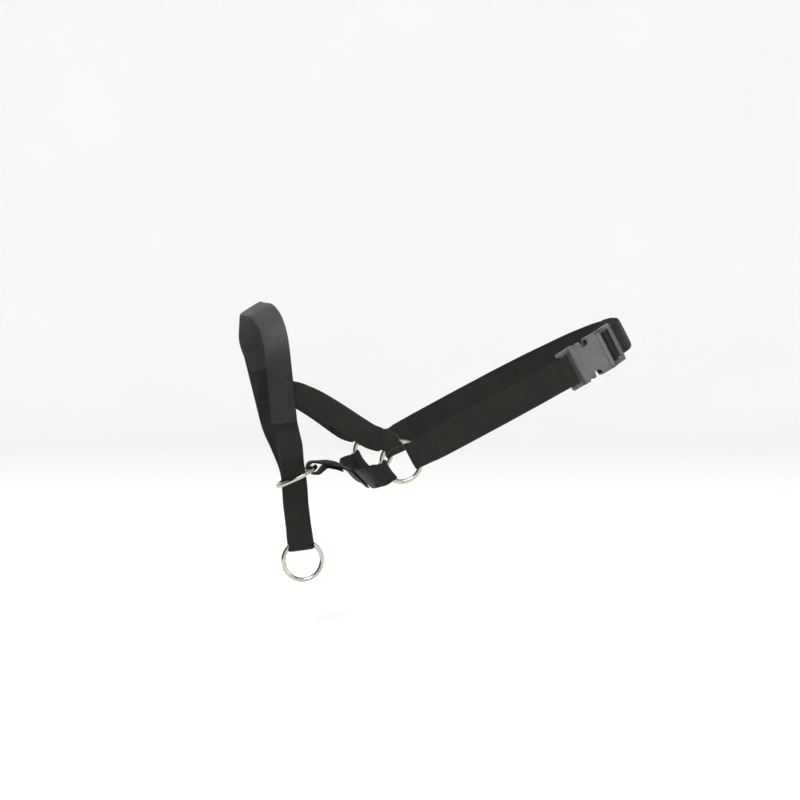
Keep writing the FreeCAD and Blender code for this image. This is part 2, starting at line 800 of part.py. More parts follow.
box_x = (-12.0, -22.0)
seats = []
for x in box_x:
    p, q = at_buckle(x, 0.0)
    if x < -15:
        q += 1.25
    seats += collar_row(p, q, 9.0, 6)
stitch_node("stitching_neck_left_buckle", seats)

muzzle_turn = MUZZLE_FRAME.Rotation
across_band = muzzle_turn.multVec(Vector(0, 0, 1))
for name, side in SIDES.items():
    layer_mid = side * (CHEEK_IN_BAND + 0.85)
    out = Vector(0, side, 0)
    seats = []
    for up in (2.2, 14.5, 28.0):
        middle = MUZZLE_FRAME.multVec(Vector(layer_mid, up, 0))
        seats += row(middle, across_band, out, 4)
    stitch_node(f"stitching_nose_band_{name}", seats)

front_across = Vector(0, 1, 0)
front_normal = Vector(THROAT_ACROSS[1], 0, -THROAT_ACROSS[0])
seats = []
for along in (-4.5, 4.5):
    middle = Vector(THROAT_FRONT[0] + THROAT_ACROSS[0] * along, 0,
                    THROAT_FRONT[1] + THROAT_ACROSS[1] * along) + front_normal * (LAYER / 2)
    seats += row(middle, front_across, front_normal, 4)
stitch_node("stitching_connector_tab", seats)

# ---------------------------------------------------------------- check and write

DOC.recompute()
for thing in DOC.Objects:
    if "Invalid" in thing.State or "Error" in thing.State:
        raise RuntimeError(f"{thing.Label} failed to recompute")

os.makedirs("parts", exist_ok=True)
for thing in SUBPARTS:
    shape = thing.Shape
    if shape.isNull() or not shape.isValid():
        raise RuntimeError(f"{thing.Label} has no valid shape")
    shape.exportStep(f"parts/{thing.Label}.step")
    box = shape.BoundBox
    print(f"{thing.Label:30s} {len(shape.Solids):3d} solids {shape.Volume:9.1f} mm3  "
          f"x {box.XMin:7.1f} {box.XMax:7.1f}  y {box.YMin:7.1f} {box.YMax:7.1f}  "
          f"z {box.ZMin:7.1f} {box.ZMax:7.1f}")
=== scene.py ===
import math

import bmesh
import bpy
import numpy as np
from mathutils import Matrix, Vector


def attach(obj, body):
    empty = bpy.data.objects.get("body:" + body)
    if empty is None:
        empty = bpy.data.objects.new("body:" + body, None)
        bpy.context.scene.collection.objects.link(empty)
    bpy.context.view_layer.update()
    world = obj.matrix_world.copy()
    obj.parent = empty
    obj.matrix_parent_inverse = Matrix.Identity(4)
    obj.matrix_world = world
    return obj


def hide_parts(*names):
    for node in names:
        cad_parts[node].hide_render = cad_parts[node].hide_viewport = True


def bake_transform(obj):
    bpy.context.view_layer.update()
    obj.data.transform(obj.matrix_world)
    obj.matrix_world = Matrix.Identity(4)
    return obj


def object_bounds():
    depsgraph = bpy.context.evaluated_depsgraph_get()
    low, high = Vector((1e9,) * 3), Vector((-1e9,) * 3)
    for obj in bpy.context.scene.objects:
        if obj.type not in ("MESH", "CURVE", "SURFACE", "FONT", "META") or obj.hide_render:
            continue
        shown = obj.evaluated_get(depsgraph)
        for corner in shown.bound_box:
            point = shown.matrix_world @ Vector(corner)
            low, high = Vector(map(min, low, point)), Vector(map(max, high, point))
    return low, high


# Looks for the head halter. Paths are in millimetres in the frame shared with the CAD, and
# every mesh is scaled to metres as it is made.

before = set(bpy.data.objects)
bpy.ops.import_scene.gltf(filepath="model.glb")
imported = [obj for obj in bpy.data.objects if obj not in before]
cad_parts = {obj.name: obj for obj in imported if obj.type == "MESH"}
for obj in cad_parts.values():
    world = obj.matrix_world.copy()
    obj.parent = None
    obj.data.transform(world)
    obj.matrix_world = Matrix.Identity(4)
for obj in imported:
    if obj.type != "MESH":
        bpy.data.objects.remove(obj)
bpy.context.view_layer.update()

MM = 0.001
UV_SCALE = 0.01              # one UV unit is 100 mm

# ---- sizes shared with the CAD

NECK, FACE, WEB, BAND, WIRE, GAP = 20.0, 16.0, 1.5, 1.7, 3.0, 0.3
RING_MEAN, JAW_MEAN, SPAN = 13.0, 14.0, 62.0
RING_X, RING_Z = -57.2, -30.0
SEAM_GAP = 0.15
LAYER = WEB + SEAM_GAP
FOLD = WIRE / 2 + GAP + WEB / 2
SIDES = {"left": -1, "right": 1}
STEP = 0.35                  # spacing of points sampled along arcs
SAME_SPOT = 1e-6             # points nearer than this are one point
FOLD_STEPS = 24
FOLD_SLIP = 0.3              # how far flat webbing's fold stays back from the wire
RUN_OFF = 5.0                # straight webbing next to a fold
CURVE_STEPS = 12              # points on a free curve from one spot to the next


def turn(degrees):
    angle = math.radians(degrees)
    return math.cos(angle), math.sin(angle)


def basis(origin, x_axis, y_axis):
    x = Vector(x_axis).normalized()
    y = Vector(y_axis)
    z = x.cross(y).normalized()
    y = z.cross(x)
    made = Matrix((x, y, z)).transposed().to_4x4()
    made.translation = Vector(origin)
    return made


COLLAR_C, COLLAR_S = turn(27.8)
MUZZLE_C, MUZZLE_S = turn(5.8)
LEAD_C, LEAD_S = turn(6.9)
JAW_C, JAW_S = turn(27.0)
BUCKLE_C, BUCKLE_S = turn(18.0)
LADDER_C, LADDER_S = turn(20.0)
BUCKLE_FOOT = (58.0, -61.2)
LADDER_X = 35.0
COLLAR = basis((0, 0, 0), (COLLAR_C, 0, COLLAR_S), (0, 1, 0))
MUZZLE = basis((-130.8, 0, -5.4), (0, 1, 0), (-MUZZLE_S, 0, MUZZLE_C))
LEAD = basis((-118.9, 0, -62.2), (0, 1, 0), (-LEAD_S, 0, LEAD_C))
CHIN = basis((0, 0, 0), (1, 0, 0), (0, 0, 1))
BUCKLE = COLLAR @ basis((*BUCKLE_FOOT, 0), (BUCKLE_C, BUCKLE_S, 0), (-BUCKLE_S, BUCKLE_C, 0))
JAW_CENTRE = Vector((-118.3, 0, -42.7))


# ---- strap paths
# A station is (point, face normal, width, bow, across). A point at distance a from the middle
# moves along bow by the sag of a ring's wire over that distance. across turns the webbing's
# width towards a direction, by a share equal to its length.

NONE = Vector((0, 0, 0))
TAB_GATHER, RUN_GATHER = 11.0, 12.0     # length over which webbing bunches at a ring
TAB_IN, TAB_IN_NEAR = 1.15 * LAYER, 1.25 * LAYER    # how far inside its run a sewn tab lies


def rounded(points):
    """Points and directions along straight runs joined by tangent arcs, in a plane."""
    spots = [Vector((p[0], p[1])) for p in points]
    found = [(spots[0], (spots[1] - spots[0]).normalized())]
    for k in range(1, len(spots) - 1):
        before, after = spots[k] - spots[k - 1], spots[k + 1] - spots[k]
        u, v = before.normalized(), after.normalized()
        half = u.angle(v) / 2
        shorter = min(before.length, after.length)
        radius = points[k][2] if len(points[k]) > 2 else 0.45 * shorter / math.tan(half)
        start = spots[k] - u * (radius * math.tan(half))
        left = u.x * v.y - u.y * v.x
        side = 1 if left > 0 else -1
        centre = start + Vector((-u.y, u.x)) * (radius * side)
        count = max(3, math.ceil(2 * half * radius / STEP))
        for n in range(count + 1):
            a = side * 2 * half * n / count
            c, s = math.cos(a), math.sin(a)
            arm = start - centre
            found.append((
                centre + Vector((arm.x * c - arm.y * s, arm.x * s + arm.y * c)),
                Vector((u.x * c - u.y * s, u.x * s + u.y * c)),
            ))
    found.append((spots[-1], (spots[-1] - spots[-2]).normalized()))
    return found


def flat(place, points, width, shift=0.0, outward=1):
    """Stations of webbing that bends in one plane; the face normal is left of the run."""
    turned = place.to_3x3()
    made = []
    for p, d in rounded(points):
        left = Vector((-d.y, d.x, 0))
        made.append((place @ (Vector((p.x, p.y, 0)) + left * shift),
                     turned @ left * outward, width, NONE, NONE))
    return made


def flowing(spots):
    """Catmull-Rom curve through the spots, as (point, direction) pairs."""
    spots = [Vector(s) for s in spots]
    ends = [spots[0] * 2 - spots[1]] + spots + [spots[-1] * 2 - spots[-2]]
    found = []
    for k in range(1, len(ends) - 2):
        a, b, c, d = ends[k - 1:k + 3]
        first, second, third = c - a, a * 2 - b * 5 + c * 4 - d, b * 3 - a - c * 3 + d
        for n in range(CURVE_STEPS):
            t = n / CURVE_STEPS
            found.append(((b * 2 + first * t + second * t**2 + third * t**3) * 0.5,
                          (first + second * (2 * t) + third * (3 * t**2)).normalized()))
    found.append((spots[-1], (ends[-1] - ends[-3]).normalized()))
    return found


def square_to(direction, wish):
    return (wish - direction * wish.dot(direction)).normalized()


def facing(heading):
    c, s = turn(heading)
    return Vector((c, 0, s))


def lengths(path):
    """Distance along a path of (point, direction) pairs at each of them."""
    gone = [0.0]
    for (a, _), (b, _) in zip(path, path[1:]):
        gone.append(gone[-1] + (b - a).length)
    return gone


def ring_point(side, heading, reach, stand_off):
    c, s = turn(heading)
    return Vector((RING_X + c * reach, side * (SPAN + stand_off), RING_Z + s * reach))


def ring_fold(side, heading, width, bow):
    """Stations round a side ring's wire; bow is how fully the webbing follows the wire."""
    away, outward = facing(heading), Vector((0, side, 0))
    chord = math.sqrt(RING_MEAN**2 - (width / 2)**2)
    reach = chord * (1 - bow) + RING_MEAN * bow - FOLD_SLIP * (1 - bow)
    centre = Vector((RING_X, side * SPAN, RING_Z)) + away * reach
    made = []
    for step in range(FOLD_STEPS + 1):
        c, s = turn(-90 + 180 * step / FOLD_STEPS)
        normal = outward * s - away * c
        made.append((centre + normal * FOLD, normal, width, away * -bow, away.cross(outward)))
    return made


def eased(t):
    t = min(1.0, max(0.0, t))
    return t * t * (3 - 2 * t)


def ramp(value, begin, reach):
    return eased((value - begin) / reach)


def gathered(path, wish, narrow, wide, length, bow, across=NONE):
    """Stations of a run that leaves a ring narrow and regains its width over a length."""
    made = []
    for gone, (p, d) in zip(lengths(path), path):
        t = eased(gone / length)
        made.append((p, square_to(d, wish), narrow + (wide - narrow) * t, bow * (1 - t),
                     across * (1 - eased(gone / (0.8 * length)))))
    return made


def from_ring(side, heading, run_heading, spots, narrow, bow):
    """A sewn tab inside, a fold round a side ring, and the run that leaves it.

    heading is the way the fold faces away from the ring, run_heading the way the run leaves.
    """
    outward = Vector((0, side, 0))
    away, leave = facing(heading), facing(run_heading)
    fold = ring_fold(side, heading, narrow, bow)
    first, last = fold[0][0], fold[-1][0]
    across = away.cross(outward)
    tab = [spots[1] - outward * TAB_IN, spots[0] - outward * TAB_IN_NEAR,
           first + leave * RUN_OFF + outward * 0.3, first]
    back = [(p, d * -1) for p, d in reversed(flowing(tab))]
    tab_run = gathered(back, -outward, narrow, FACE, TAB_GATHER, away * -bow, across)
    run = [last, last + leave * RUN_OFF - outward * 0.25] + spots
    main_run = gathered(flowing(run), outward, narrow, FACE, RUN_GATHER, away * -bow, across)
    return tab_run[::-1] + fold + main_run


# ---- webbing meshes

FACE_POINTS, EDGE_POINTS = 15, 8        # across a face, and round an edge
EDGE_ROUND = 0.92            # share of the half thickness that the edges' round takes up
SCALLOP, EDGE_THIN = 0.10, 0.35
CUT_THIN, CUT_REACH = 0.55, 0.5         # thickness left at a cut end, and how far it reaches


def unit(rows):
    return rows / np.linalg.norm(rows, axis=1)[:, None]


def run_lengths(points):
    """Distance along a line of points at each of them."""
    return np.concatenate([[0], np.cumsum(np.linalg.norm(np.diff(points, axis=0), axis=1))])


class Web:
    """A strap's finely sampled frames, and the mesh built on them."""

    def __init__(self, name, stations, thick, pitch, rib, seed, material, slot="webbing"):
        self.thick, self.pitch = thick, pitch
        p, n, w, b, x = (np.array(column, float) for column in zip(*stations))
        gone = run_lengths(p)
        keep = np.concatenate([[True], np.diff(gone) > SAME_SPOT])
        p, n, w, b, x, gone = (column[keep] for column in (p, n, w, b, x, gone))
        count = max(8, int(gone[-1] / (pitch / 6)) + 1)
        self.s = np.linspace(0, gone[-1], count)
        spread = lambda a: np.stack([np.interp(self.s, gone, a[:, k]) for k in range(3)], 1)
        self.p, self.b = spread(p), spread(b)
        self.w = np.interp(self.s, gone, w)
        self.t = unit(np.gradient(self.p, self.s, axis=0))
        n = spread(n)
        n -= self.t * np.sum(n * self.t, axis=1)[:, None]
        a = np.cross(self.t, unit(n))
        x = spread(x)
        share = np.linalg.norm(x, axis=1)[:, None]
        x *= np.sign(np.sum(x * a, axis=1))[:, None]
        self.a = a * (1 - np.minimum(share, 1)) + x
        self.n = unit(np.cross(self.a, self.t))
        self.object = self.mesh(name, rib, seed, material)

    def sag(self, across):
        return RING_MEAN - np.sqrt(np.maximum(RING_MEAN**2 - across**2, 0))

    def mesh(self, name, rib, seed, material):
        s, half = self.s, self.w / 2
        r = self.thick / 2
        face = np.linspace(1, -1, FACE_POINTS)
        arc = np.radians(np.linspace(90, 270, EDGE_POINTS))[1:-1]
        inner = np.concatenate([face, np.full(len(arc), -1.0), -face, np.full(len(arc), 1.0)])
        out = np.concatenate([0 * face, np.cos(arc), 0 * face, -np.cos(arc)])
        up = np.concatenate([0 * face + 1, np.sin(arc), 0 * face - 1, -np.sin(arc)])
        round_edge = np.abs(out)
        phase = 2 * np.pi * s / self.pitch
        ribbed = (0.5 - 0.5 * np.cos(phase))[:, None]
        wave = 0.05 * np.sin(s / 9.1 + seed) + 0.04 * np.sin(s / 4.7 + 2.3 * seed)
        body = r * EDGE_ROUND
        across = inner[None, :] * (half - body)[:, None] + out[None, :] * body
        across = across + np.sign(out)[None, :] * round_edge[None, :] * (
            SCALLOP * np.cos(phase)[:, None] + 0.5 * wave[:, None])
        soft = 1 - EDGE_THIN * np.abs(inner) ** 6
        through = up[None, :] * (r * soft[None, :] - rib * ribbed * (1 - round_edge[None, :]))
        through = through + 0.02 * np.sin(s / 6.3 + seed)[:, None] * np.cos(inner * 2.2)[None, :]
        ends = np.minimum(s, s[-1] - s)
        through *= np.clip(CUT_THIN + ends / CUT_REACH * (1 - CUT_THIN), 0, 1)[:, None]
        co = (self.p[:, None, :] + self.a[:, None, :] * across[:, :, None]
              + self.n[:, None, :] * through[:, :, None]
              + self.b[:, None, :] * self.sag(across)[:, :, None])
        # v runs round the section: across the face, over the edge, back across the other face
        mid = len(s) // 2
        ring = np.stack([across[mid], through[mid]], 1)
        around = run_lengths(np.vstack([ring, ring[:1]]))
        around -= around[FACE_POINTS // 2]
        return new_mesh(name, co.reshape(-1, 3), skin(*across.shape), skin_uv(s, around), material)

    def nearest(self, point):
        """Arc length of the frame nearest to a point."""
        return float(self.s[np.argmin(np.linalg.norm(self.p - np.array(point), axis=1))])

    def spot(self, s, across, face):
        """A point on the face, with the run's direction, the way across and the normal."""
        k = int(np.clip(np.searchsorted(self.s, s), 0, len(self.s) - 1))
        p = (self.p[k] + self.a[k] * across + self.b[k] * self.sag(np.array(across))
             + self.n[k] * (face * self.thick / 2))
        return Vector(p), Vector(self.t[k]), Vector(self.a[k]), Vector(self.n[k]) * face


def in_scene(name, data):
    made = bpy.data.objects.new(name, data)
    bpy.context.scene.collection.objects.link(made)
    return made


def face_out(mesh):
    """Turns every face outwards."""
    edit = bmesh.new()
    edit.from_mesh(mesh)
    bmesh.ops.recalc_face_normals(edit, faces=edit.faces)
    edit.to_mesh(mesh)
    edit.free()


def smooth(mesh):
    mesh.polygons.foreach_set("use_smooth", [True] * len(mesh.polygons))


def skin(rows, cols):
    """Faces of a closed tube, from one ring of points to the next, then its two lids."""
    quads = [[i * cols + j, i * cols + k, (i + 1) * cols + k, (i + 1) * cols + j]
             for i in range(rows - 1) for j in range(cols) for k in [(j + 1) % cols]]
    last = (rows - 1) * cols
    return quads + [list(range(cols))[::-1], list(range(last, last + cols))]


def skin_uv(along, around):
    """UVs of a skin, from the distances of its rows and of its columns. Its lids have none."""
    here, low = np.meshgrid(along[:-1], around[:-1], indexing="ij")
    there, high = np.meshgrid(along[1:], around[1:], indexing="ij")
    u = np.stack([here, here, there, there], 2)
    v = np.stack([low, high, high, low], 2)
    lids = np.zeros((2 * here.shape[1], 2))
    return np.vstack([np.stack([u, v], 3).reshape(-1, 2) * UV_SCALE, lids])


def bare_mesh(name, co, faces):
    mesh = bpy.data.meshes.new(name)
    mesh.from_pydata(co, [], faces)
    return mesh


def new_mesh(name, co, faces, uv, material):
    mesh = bare_mesh(name, (np.asarray(co) * MM).tolist(), faces)
    layer = mesh.uv_layers.new(name="UVMap")
    layer.data.foreach_set("uv", np.asarray(uv, np.float32).ravel())
    smooth(mesh)
    face_out(mesh)
    mesh.update()
    mesh.materials.append(material)
    return in_scene(name, mesh)


# ---- thread

def tube(path, radius, sides=8):
    """Vertices, faces and UVs of a thin tube along a list of points."""
    path = np.array(path, float)
    t = unit(np.gradient(path, axis=0))
    side = np.cross(t[0], [0.31, 0.77, 0.56])
    side /= np.linalg.norm(side)
    co = []
    for p, d in zip(path, t):
        side = side - d * side.dot(d)
        side /= np.linalg.norm(side)
        other = np.cross(d, side)
        angle = np.linspace(0, 2 * np.pi, sides, endpoint=False)
        co.append(p + radius * (np.cos(angle)[:, None] * side + np.sin(angle)[:, None] * other))
    around = 2 * math.pi * radius * np.arange(sides + 1) / sides
    return np.vstack(co), skin(len(path), sides), skin_uv(run_lengths(path), around)


THREAD_RADIUS, KNOT_RADIUS = 0.2, 0.26
STITCH_RISE, STITCH_DIVE, STITCH_PITCH = 0.16, 0.42, 2.3


class Threads:
    """Collects stitches into one mesh."""

    def __init__(self):
        self.co, self.faces, self.uv, self.count = [], [], [], 0

    def add(self, path, radius=THREAD_RADIUS):
        co, faces, uv = tube(path, radius)
        self.co.append(co)
        self.faces += [[v + self.count for v in f] for f in faces]
        self.uv.append(uv)
        self.count += len(co)

    def stitch(self, start, stop, normal):
        """One stitch that rises out of the webbing and dives back in."""
        path = []
        for n in range(9):
            hump = math.sin(math.pi * n / 8)
            height = STITCH_RISE * hump - STITCH_DIVE * (1 - hump) ** 3
            path.append(start.lerp(stop, n / 8) + normal * height)
        self.add(path)

    def line(self, web, start, stop, face=1, pitch=STITCH_PITCH):
        """Stitches on a web's face between two (arc length, across) points."""
        (s0, a0), (s1, a1) = start, stop
        length = math.hypot(s1 - s0, a1 - a0)
        count = max(1, round(length / pitch))
        for n in range(count):
            (p0, _, _, n0), (p1, _, _, n1) = (
                web.spot(s0 + (s1 - s0) * t, a0 + (a1 - a0) * t, face)
                for t in ((n + 0.1) / count, (n + 0.9) / count))
            self.stitch(p0, p1, ((n0 + n1) / 2).normalized())

    def across(self, web, s, half, pitch=STITCH_PITCH):
        self.line(web, (s, -half), (s, half), pitch=pitch)

    def rows(self, web, spots, half):
        """Rows across the webbing, and a line at each edge between the last two."""
        for s in spots:
            self.across(web, s, half)
        for a in (-half, half):
            self.line(web, (spots[-2], a), (spots[-1], a))

    def box(self, web, s0, s1, half, face):
        corners = [(s0, -half), (s0, half), (s1, half), (s1, -half)]
        for k in range(4):
            self.line(web, corners[k], corners[(k + 1) % 4], face)

    def build(self, name, body, *nodes):
        made = new_mesh(name, np.vstack(self.co), self.faces, np.vstack(self.uv), THREAD)
        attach(made, body)
        if nodes:
            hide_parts(*nodes)
        return made


# ---- materials

class Nodes:
    """A short way to write a material's node tree."""

    def __init__(self, name):
        self.material = bpy.data.materials.new(name)
        self.material.use_nodes = True
        self.tree = self.material.node_tree
        self.shader = self.tree.nodes["Principled BSDF"]

    def put(self, socket, value):
        if hasattr(value, "is_output"):
            self.tree.links.new(value, socket)
        else:
            socket.default_value = value

    def new(self, kind, inputs=(), **values):
        """Adds a node, sets its values, fills its inputs and gives its outputs."""
        node = self.tree.nodes.new("ShaderNode" + kind)
        for key, value in values.items():
            setattr(node, key, value)
        for key, value in dict(inputs).items():
            self.put(node.inputs[key], value)
        return node.outputs

    def math(self, operation, *values):
        return self.new("Math", enumerate(values), operation=operation)[0]

    def times(self, a, b):
        return self.math("MULTIPLY", a, b)

    def plus(self, a, b):
        return self.math("ADD", a, b)

    def split(self, vector):
        return self.new("SeparateXYZ", {0: vector})

    def uv(self):
        """Length along the piece and distance across it, in millimetres."""
        u, v, _ = self.split(self.new("UVMap", uv_map="UVMap")[0])
        return self.times(u, 1 / UV_SCALE), self.times(v, 1 / UV_SCALE)

    def vector(self, x, y):
        return self.new("CombineXYZ", {0: x, 1: y})[0]

    def place(self):
        """Position in the object's own space, in millimetres."""
        spot = self.new("TexCoord")["Object"]
        return self.new("VectorMath", {0: spot, "Scale": 1000.0}, operation="SCALE")[0]

    def height(self):
        """Height above the origin, in millimetres."""
        return self.split(self.place())[2]

    def noise(self, vector, scale, detail=3.0, rough=0.55):
        inputs = {"Vector": vector, "Scale": scale, "Detail": detail, "Roughness": rough}
        return self.new("TexNoise", inputs)[0]

    def cells(self, vector, scale):
        inputs = {"Vector": vector, "Scale": scale}
        return self.new("TexVoronoi", inputs, feature="F1")["Distance"]

    def span(self, value, low, high, to_low, to_high, kind="LINEAR"):
        inputs = enumerate((value, low, high, to_low, to_high))
        return self.new("MapRange", inputs, clamp=True, interpolation_type=kind)[0]

    def mix(self, share, a, b):
        a, b = (v if hasattr(v, "is_output") else (*v, 1) for v in (a, b))
        return self.new("Mix", {0: share, 6: a, 7: b}, data_type="RGBA")[2]

    def bump(self, height, distance, strength):
        inputs = {"Height": height, "Distance": distance * MM, "Strength": strength}
        return self.new("Bump", inputs)[0]

    def attribute(self, name):
        return self.new("Attribute", attribute_name=name)["Fac"]

    def done(self, colour, rough, *relief, **others):
        """Fills the shader. relief is a height, its depth and its strength."""
        if relief:
            others["Normal"] = self.bump(*relief)
        for name, value in {"Base Color": colour, "Roughness": rough, **others}.items():
            self.put(self.shader.inputs[name], value)
        return self.material


def webbing_material(name, pitch, yarn, dark, light, rough, sheen, specular, wear_and_top_light=0.0):
    """Woven nylon: warp yarns over the ribs, fibre streaks and lint, with the weave's crests
    painted lighter and its valleys darker, as painted highlight and painted shade. Where it crosses
    the top of the nose it's painted paler, as a painted highlight from the light above, and made
    shinier, by the share given; below that its sides are painted darker, as painted shade."""
    n = Nodes(name)
    u, v = n.uv()
    rib = n.math("DIVIDE", u, pitch / 2)
    warp = n.math("DIVIDE", v, yarn)
    parity = n.math("MODULO", n.plus(n.math("FLOOR", rib), n.math("FLOOR", warp)), 2.0)
    parity = n.math("ABSOLUTE", parity)
    hump_u, hump_v = (n.math("ABSOLUTE", n.math("SINE", n.times(turns, math.pi)))
                      for turns in (rib, warp))
    over = n.times(hump_v, n.plus(0.45, n.times(hump_u, 0.55)))
    under = n.times(hump_u, 0.35)
    weave = n.plus(n.times(parity, over),
                   n.times(n.math("SUBTRACT", 1.0, parity), under))
    fibre = n.noise(n.vector(n.times(u, 0.9), n.times(v, 9.0)), 1.0, 3.0)
    height = n.plus(n.times(weave, 0.75), n.times(fibre, 0.5))
    place = n.place()
    broad = n.noise(place, 0.045, 3.0)
    patches = n.noise(place, 0.35, 4.0, 0.65)
    lint = n.span(n.cells(place, 0.42), 0.0, 0.028, 1.0, 0.0)
    # tone paints the weave's valleys darker and its crests lighter, as painted shade and painted
    # highlight; fibre, broad and patches vary it at random
    tone = n.times(n.span(weave, 0.0, 0.9, 0.25, 1.0), n.span(fibre, 0.3, 0.7, 0.6, 1.1))
    tone = n.times(tone, n.span(broad, 0.35, 0.65, 0.8, 1.15))
    tone = n.times(tone, n.span(patches, 0.3, 0.7, 0.88, 1.08))
    colour = n.mix(tone, dark, light)
    colour = n.mix(n.times(lint, 0.35), colour, (0.26, 0.25, 0.23))
    grain = n.plus(n.times(fibre, 0.6), n.times(patches, 0.4))
    dull = n.span(grain, 0.35, 0.65, rough + 0.08, rough - 0.08)
    if wear_and_top_light:
        z = n.height()
        # crown is the top of the band: there it is made less rough and painted paler, a painted
        # highlight from the light above, strongest on the weave's crests
        crown = n.span(z, 34.0, 66.0, 0.0, wear_and_top_light, "SMOOTHSTEP")
        colour = n.mix(n.times(crown, n.span(weave, 0.0, 0.9, 0.5, 1.0)), colour,
                       (0.105, 0.101, 0.095))
        # Lower down, the band's sides are painted darker, towards the dark colour, as painted shade
        colour = n.mix(n.span(z, 26.0, 44.0, 0.75, 0.0, "SMOOTHSTEP"), colour, dark)
        dull = n.math("SUBTRACT", dull, n.times(crown, 0.2))
    return n.done(colour, dull, height, 0.14, 0.9, **{
        "Sheen Weight": sheen, "Sheen Roughness": 0.45, "Sheen Tint": (0.85, 0.86, 0.9, 1),
        "Specular IOR Level": specular})


def lining_material():
    """Soft brushed lining: short fibres in every direction."""
    n = Nodes("lining_brushed")
    place = n.place()
    nap = n.noise(place, 3.2, 5.0, 0.7)
    clump = n.noise(place, 0.5, 3.0)
    pills = n.cells(place, 1.1)
    colour = n.mix(n.span(nap, 0.3, 0.7, 0.0, 1.0), (0.010, 0.0095, 0.009), (0.036, 0.034, 0.032))
    colour = n.mix(n.span(clump, 0.4, 0.7, 0.0, 0.35), colour, (0.048, 0.046, 0.043))
    height = n.plus(nap, n.times(pills, 0.5))
    return n.done(colour, n.span(nap, 0.3, 0.7, 0.95, 0.8), height, 0.3, 0.8,
                  **{"Sheen Weight": 0.12, "Sheen Roughness": 0.6, "Specular IOR Level": 0.12})


def thread_material():
    """Bonded three-ply thread: plies wind round the stitch."""
    n = Nodes("thread_bonded")
    u, v = n.uv()
    ply = n.math("SINE", n.plus(n.times(u, 8.4), n.times(v, 11.1)))
    fuzz = n.noise(n.place(), 6.0, 2.0)
    height = n.plus(ply, n.times(fuzz, 0.6))
    # The colour follows the relief: the grooves between the plies are painted darker and their
    # crests lighter, as painted shade and painted highlight
    colour = n.mix(n.span(height, -0.8, 1.4, 0.0, 1.0), (0.006, 0.0056, 0.0052),
                   (0.030, 0.028, 0.026))
    return n.done(colour, n.span(fuzz, 0.3, 0.7, 0.62, 0.42), height, 0.06, 0.8,
                  **{"Sheen Weight": 0.08, "Specular IOR Level": 0.3})


def nickel_material():
    """Polished nickel plate: drawing marks round the ring, handling haze and small pits."""
    n = Nodes("nickel_polished")
    u, v = n.uv()
    place = n.place()
    drawn = n.noise(n.vector(n.times(u, 0.25), n.times(v, 6.0)), 1.0, 4.0)
    haze = n.noise(place, 0.28, 4.0, 0.6)
    pits = n.span(n.cells(place, 0.9), 0.0, 0.05, 1.0, 0.0)
    scuff = n.noise(n.vector(n.times(u, 3.0), n.times(v, 0.7)), 1.0, 5.0, 0.7)
    colour = n.mix(n.span(haze, 0.35, 0.7, 0.0, 1.0), (0.50, 0.475, 0.425), (0.39, 0.365, 0.315))
    colour = n.mix(n.times(pits, 0.5), colour, (0.30, 0.27, 0.23))
    worn = n.plus(n.span(haze, 0.35, 0.7, 0.0, 0.13), n.span(scuff, 0.55, 0.75, 0.0, 0.14))
    rough = n.plus(worn, n.span(drawn, 0.3, 0.7, 0.08, 0.15))
    height = n.plus(n.times(drawn, 0.5), n.times(pits, -0.6))
    return n.done(colour, rough, height, 0.02, 0.5, Metallic=1.0)


def acetal_material():
    """Moulded acetal: spark-eroded grain, a little bloom, edges rubbed smooth and lighter."""
    n = Nodes("acetal_grained")
    place = n.place()
    grain = n.noise(place, 3.6, 4.0, 0.7)
    spark = n.cells(place, 3.0)
    bloom = n.noise(place, 0.22, 3.0)
    wear = n.attribute("wear")
    wear_and_top_light = n.times(wear, n.span(n.noise(place, 0.8, 3.0), 0.3, 0.6, 0.35, 1.0))
    base = n.mix(n.span(grain, 0.32, 0.68, 0.0, 1.0), (0.014, 0.014, 0.0145), (0.062, 0.063, 0.066))
    base = n.mix(n.span(bloom, 0.4, 0.7, 0.0, 0.45), base, (0.07, 0.071, 0.074))
    base = n.mix(n.times(wear_and_top_light, 0.6), base, (0.19, 0.19, 0.19))
    rough = n.math("SUBTRACT", n.span(grain, 0.3, 0.7, 0.62, 0.44), n.times(wear_and_top_light, 0.16))
    height = n.plus(grain, n.times(spark, 0.7))
    return n.done(base, rough, height, 0.12, 0.75, **{"Specular IOR Level": 0.5})


RIBBED = webbing_material("webbing_ribbed", 1.45, 0.62, (0.0045, 0.0043, 0.0040),
                          (0.030, 0.0285, 0.0257), 0.44, 0.05, 0.28, 0.55)
PLAIN = webbing_material("webbing_plain", 1.2, 0.52, (0.0052, 0.0047, 0.0039),
                         (0.0225, 0.0205, 0.0175), 0.60, 0.035, 0.13)
LINING = lining_material()
THREAD = thread_material()
NICKEL = nickel_material()
ACETAL = acetal_material()

# spacing and depth of each webbing's ribs
BAND_WEAVE, LINING_WEAVE = (1.45, 0.13), (1.6, 0.03)
FACE_WEAVE, NECK_WEAVE = (1.2, 0.05), (1.35, 0.06)

# ---- nose band

ARCH, HALF_BAND, LINING_FOOT = 32.0, 38.85, 34.0
BRIDGE_DROP, BRIDGE_TILT, BRIDGE_SHIFT = 4.7, 25.0, 9.0
BRIDGE_LIFT, LIFT_AT, LIFT_REACH = 4.8, 21.5, 10.5
# where each change begins on the band, and over what distance it comes in
SLOPE_RISE, SLIP_ACROSS, SLIP_RISE = (44.0, 32.0), (-36.0, 56.0), (16.0, 44.0)


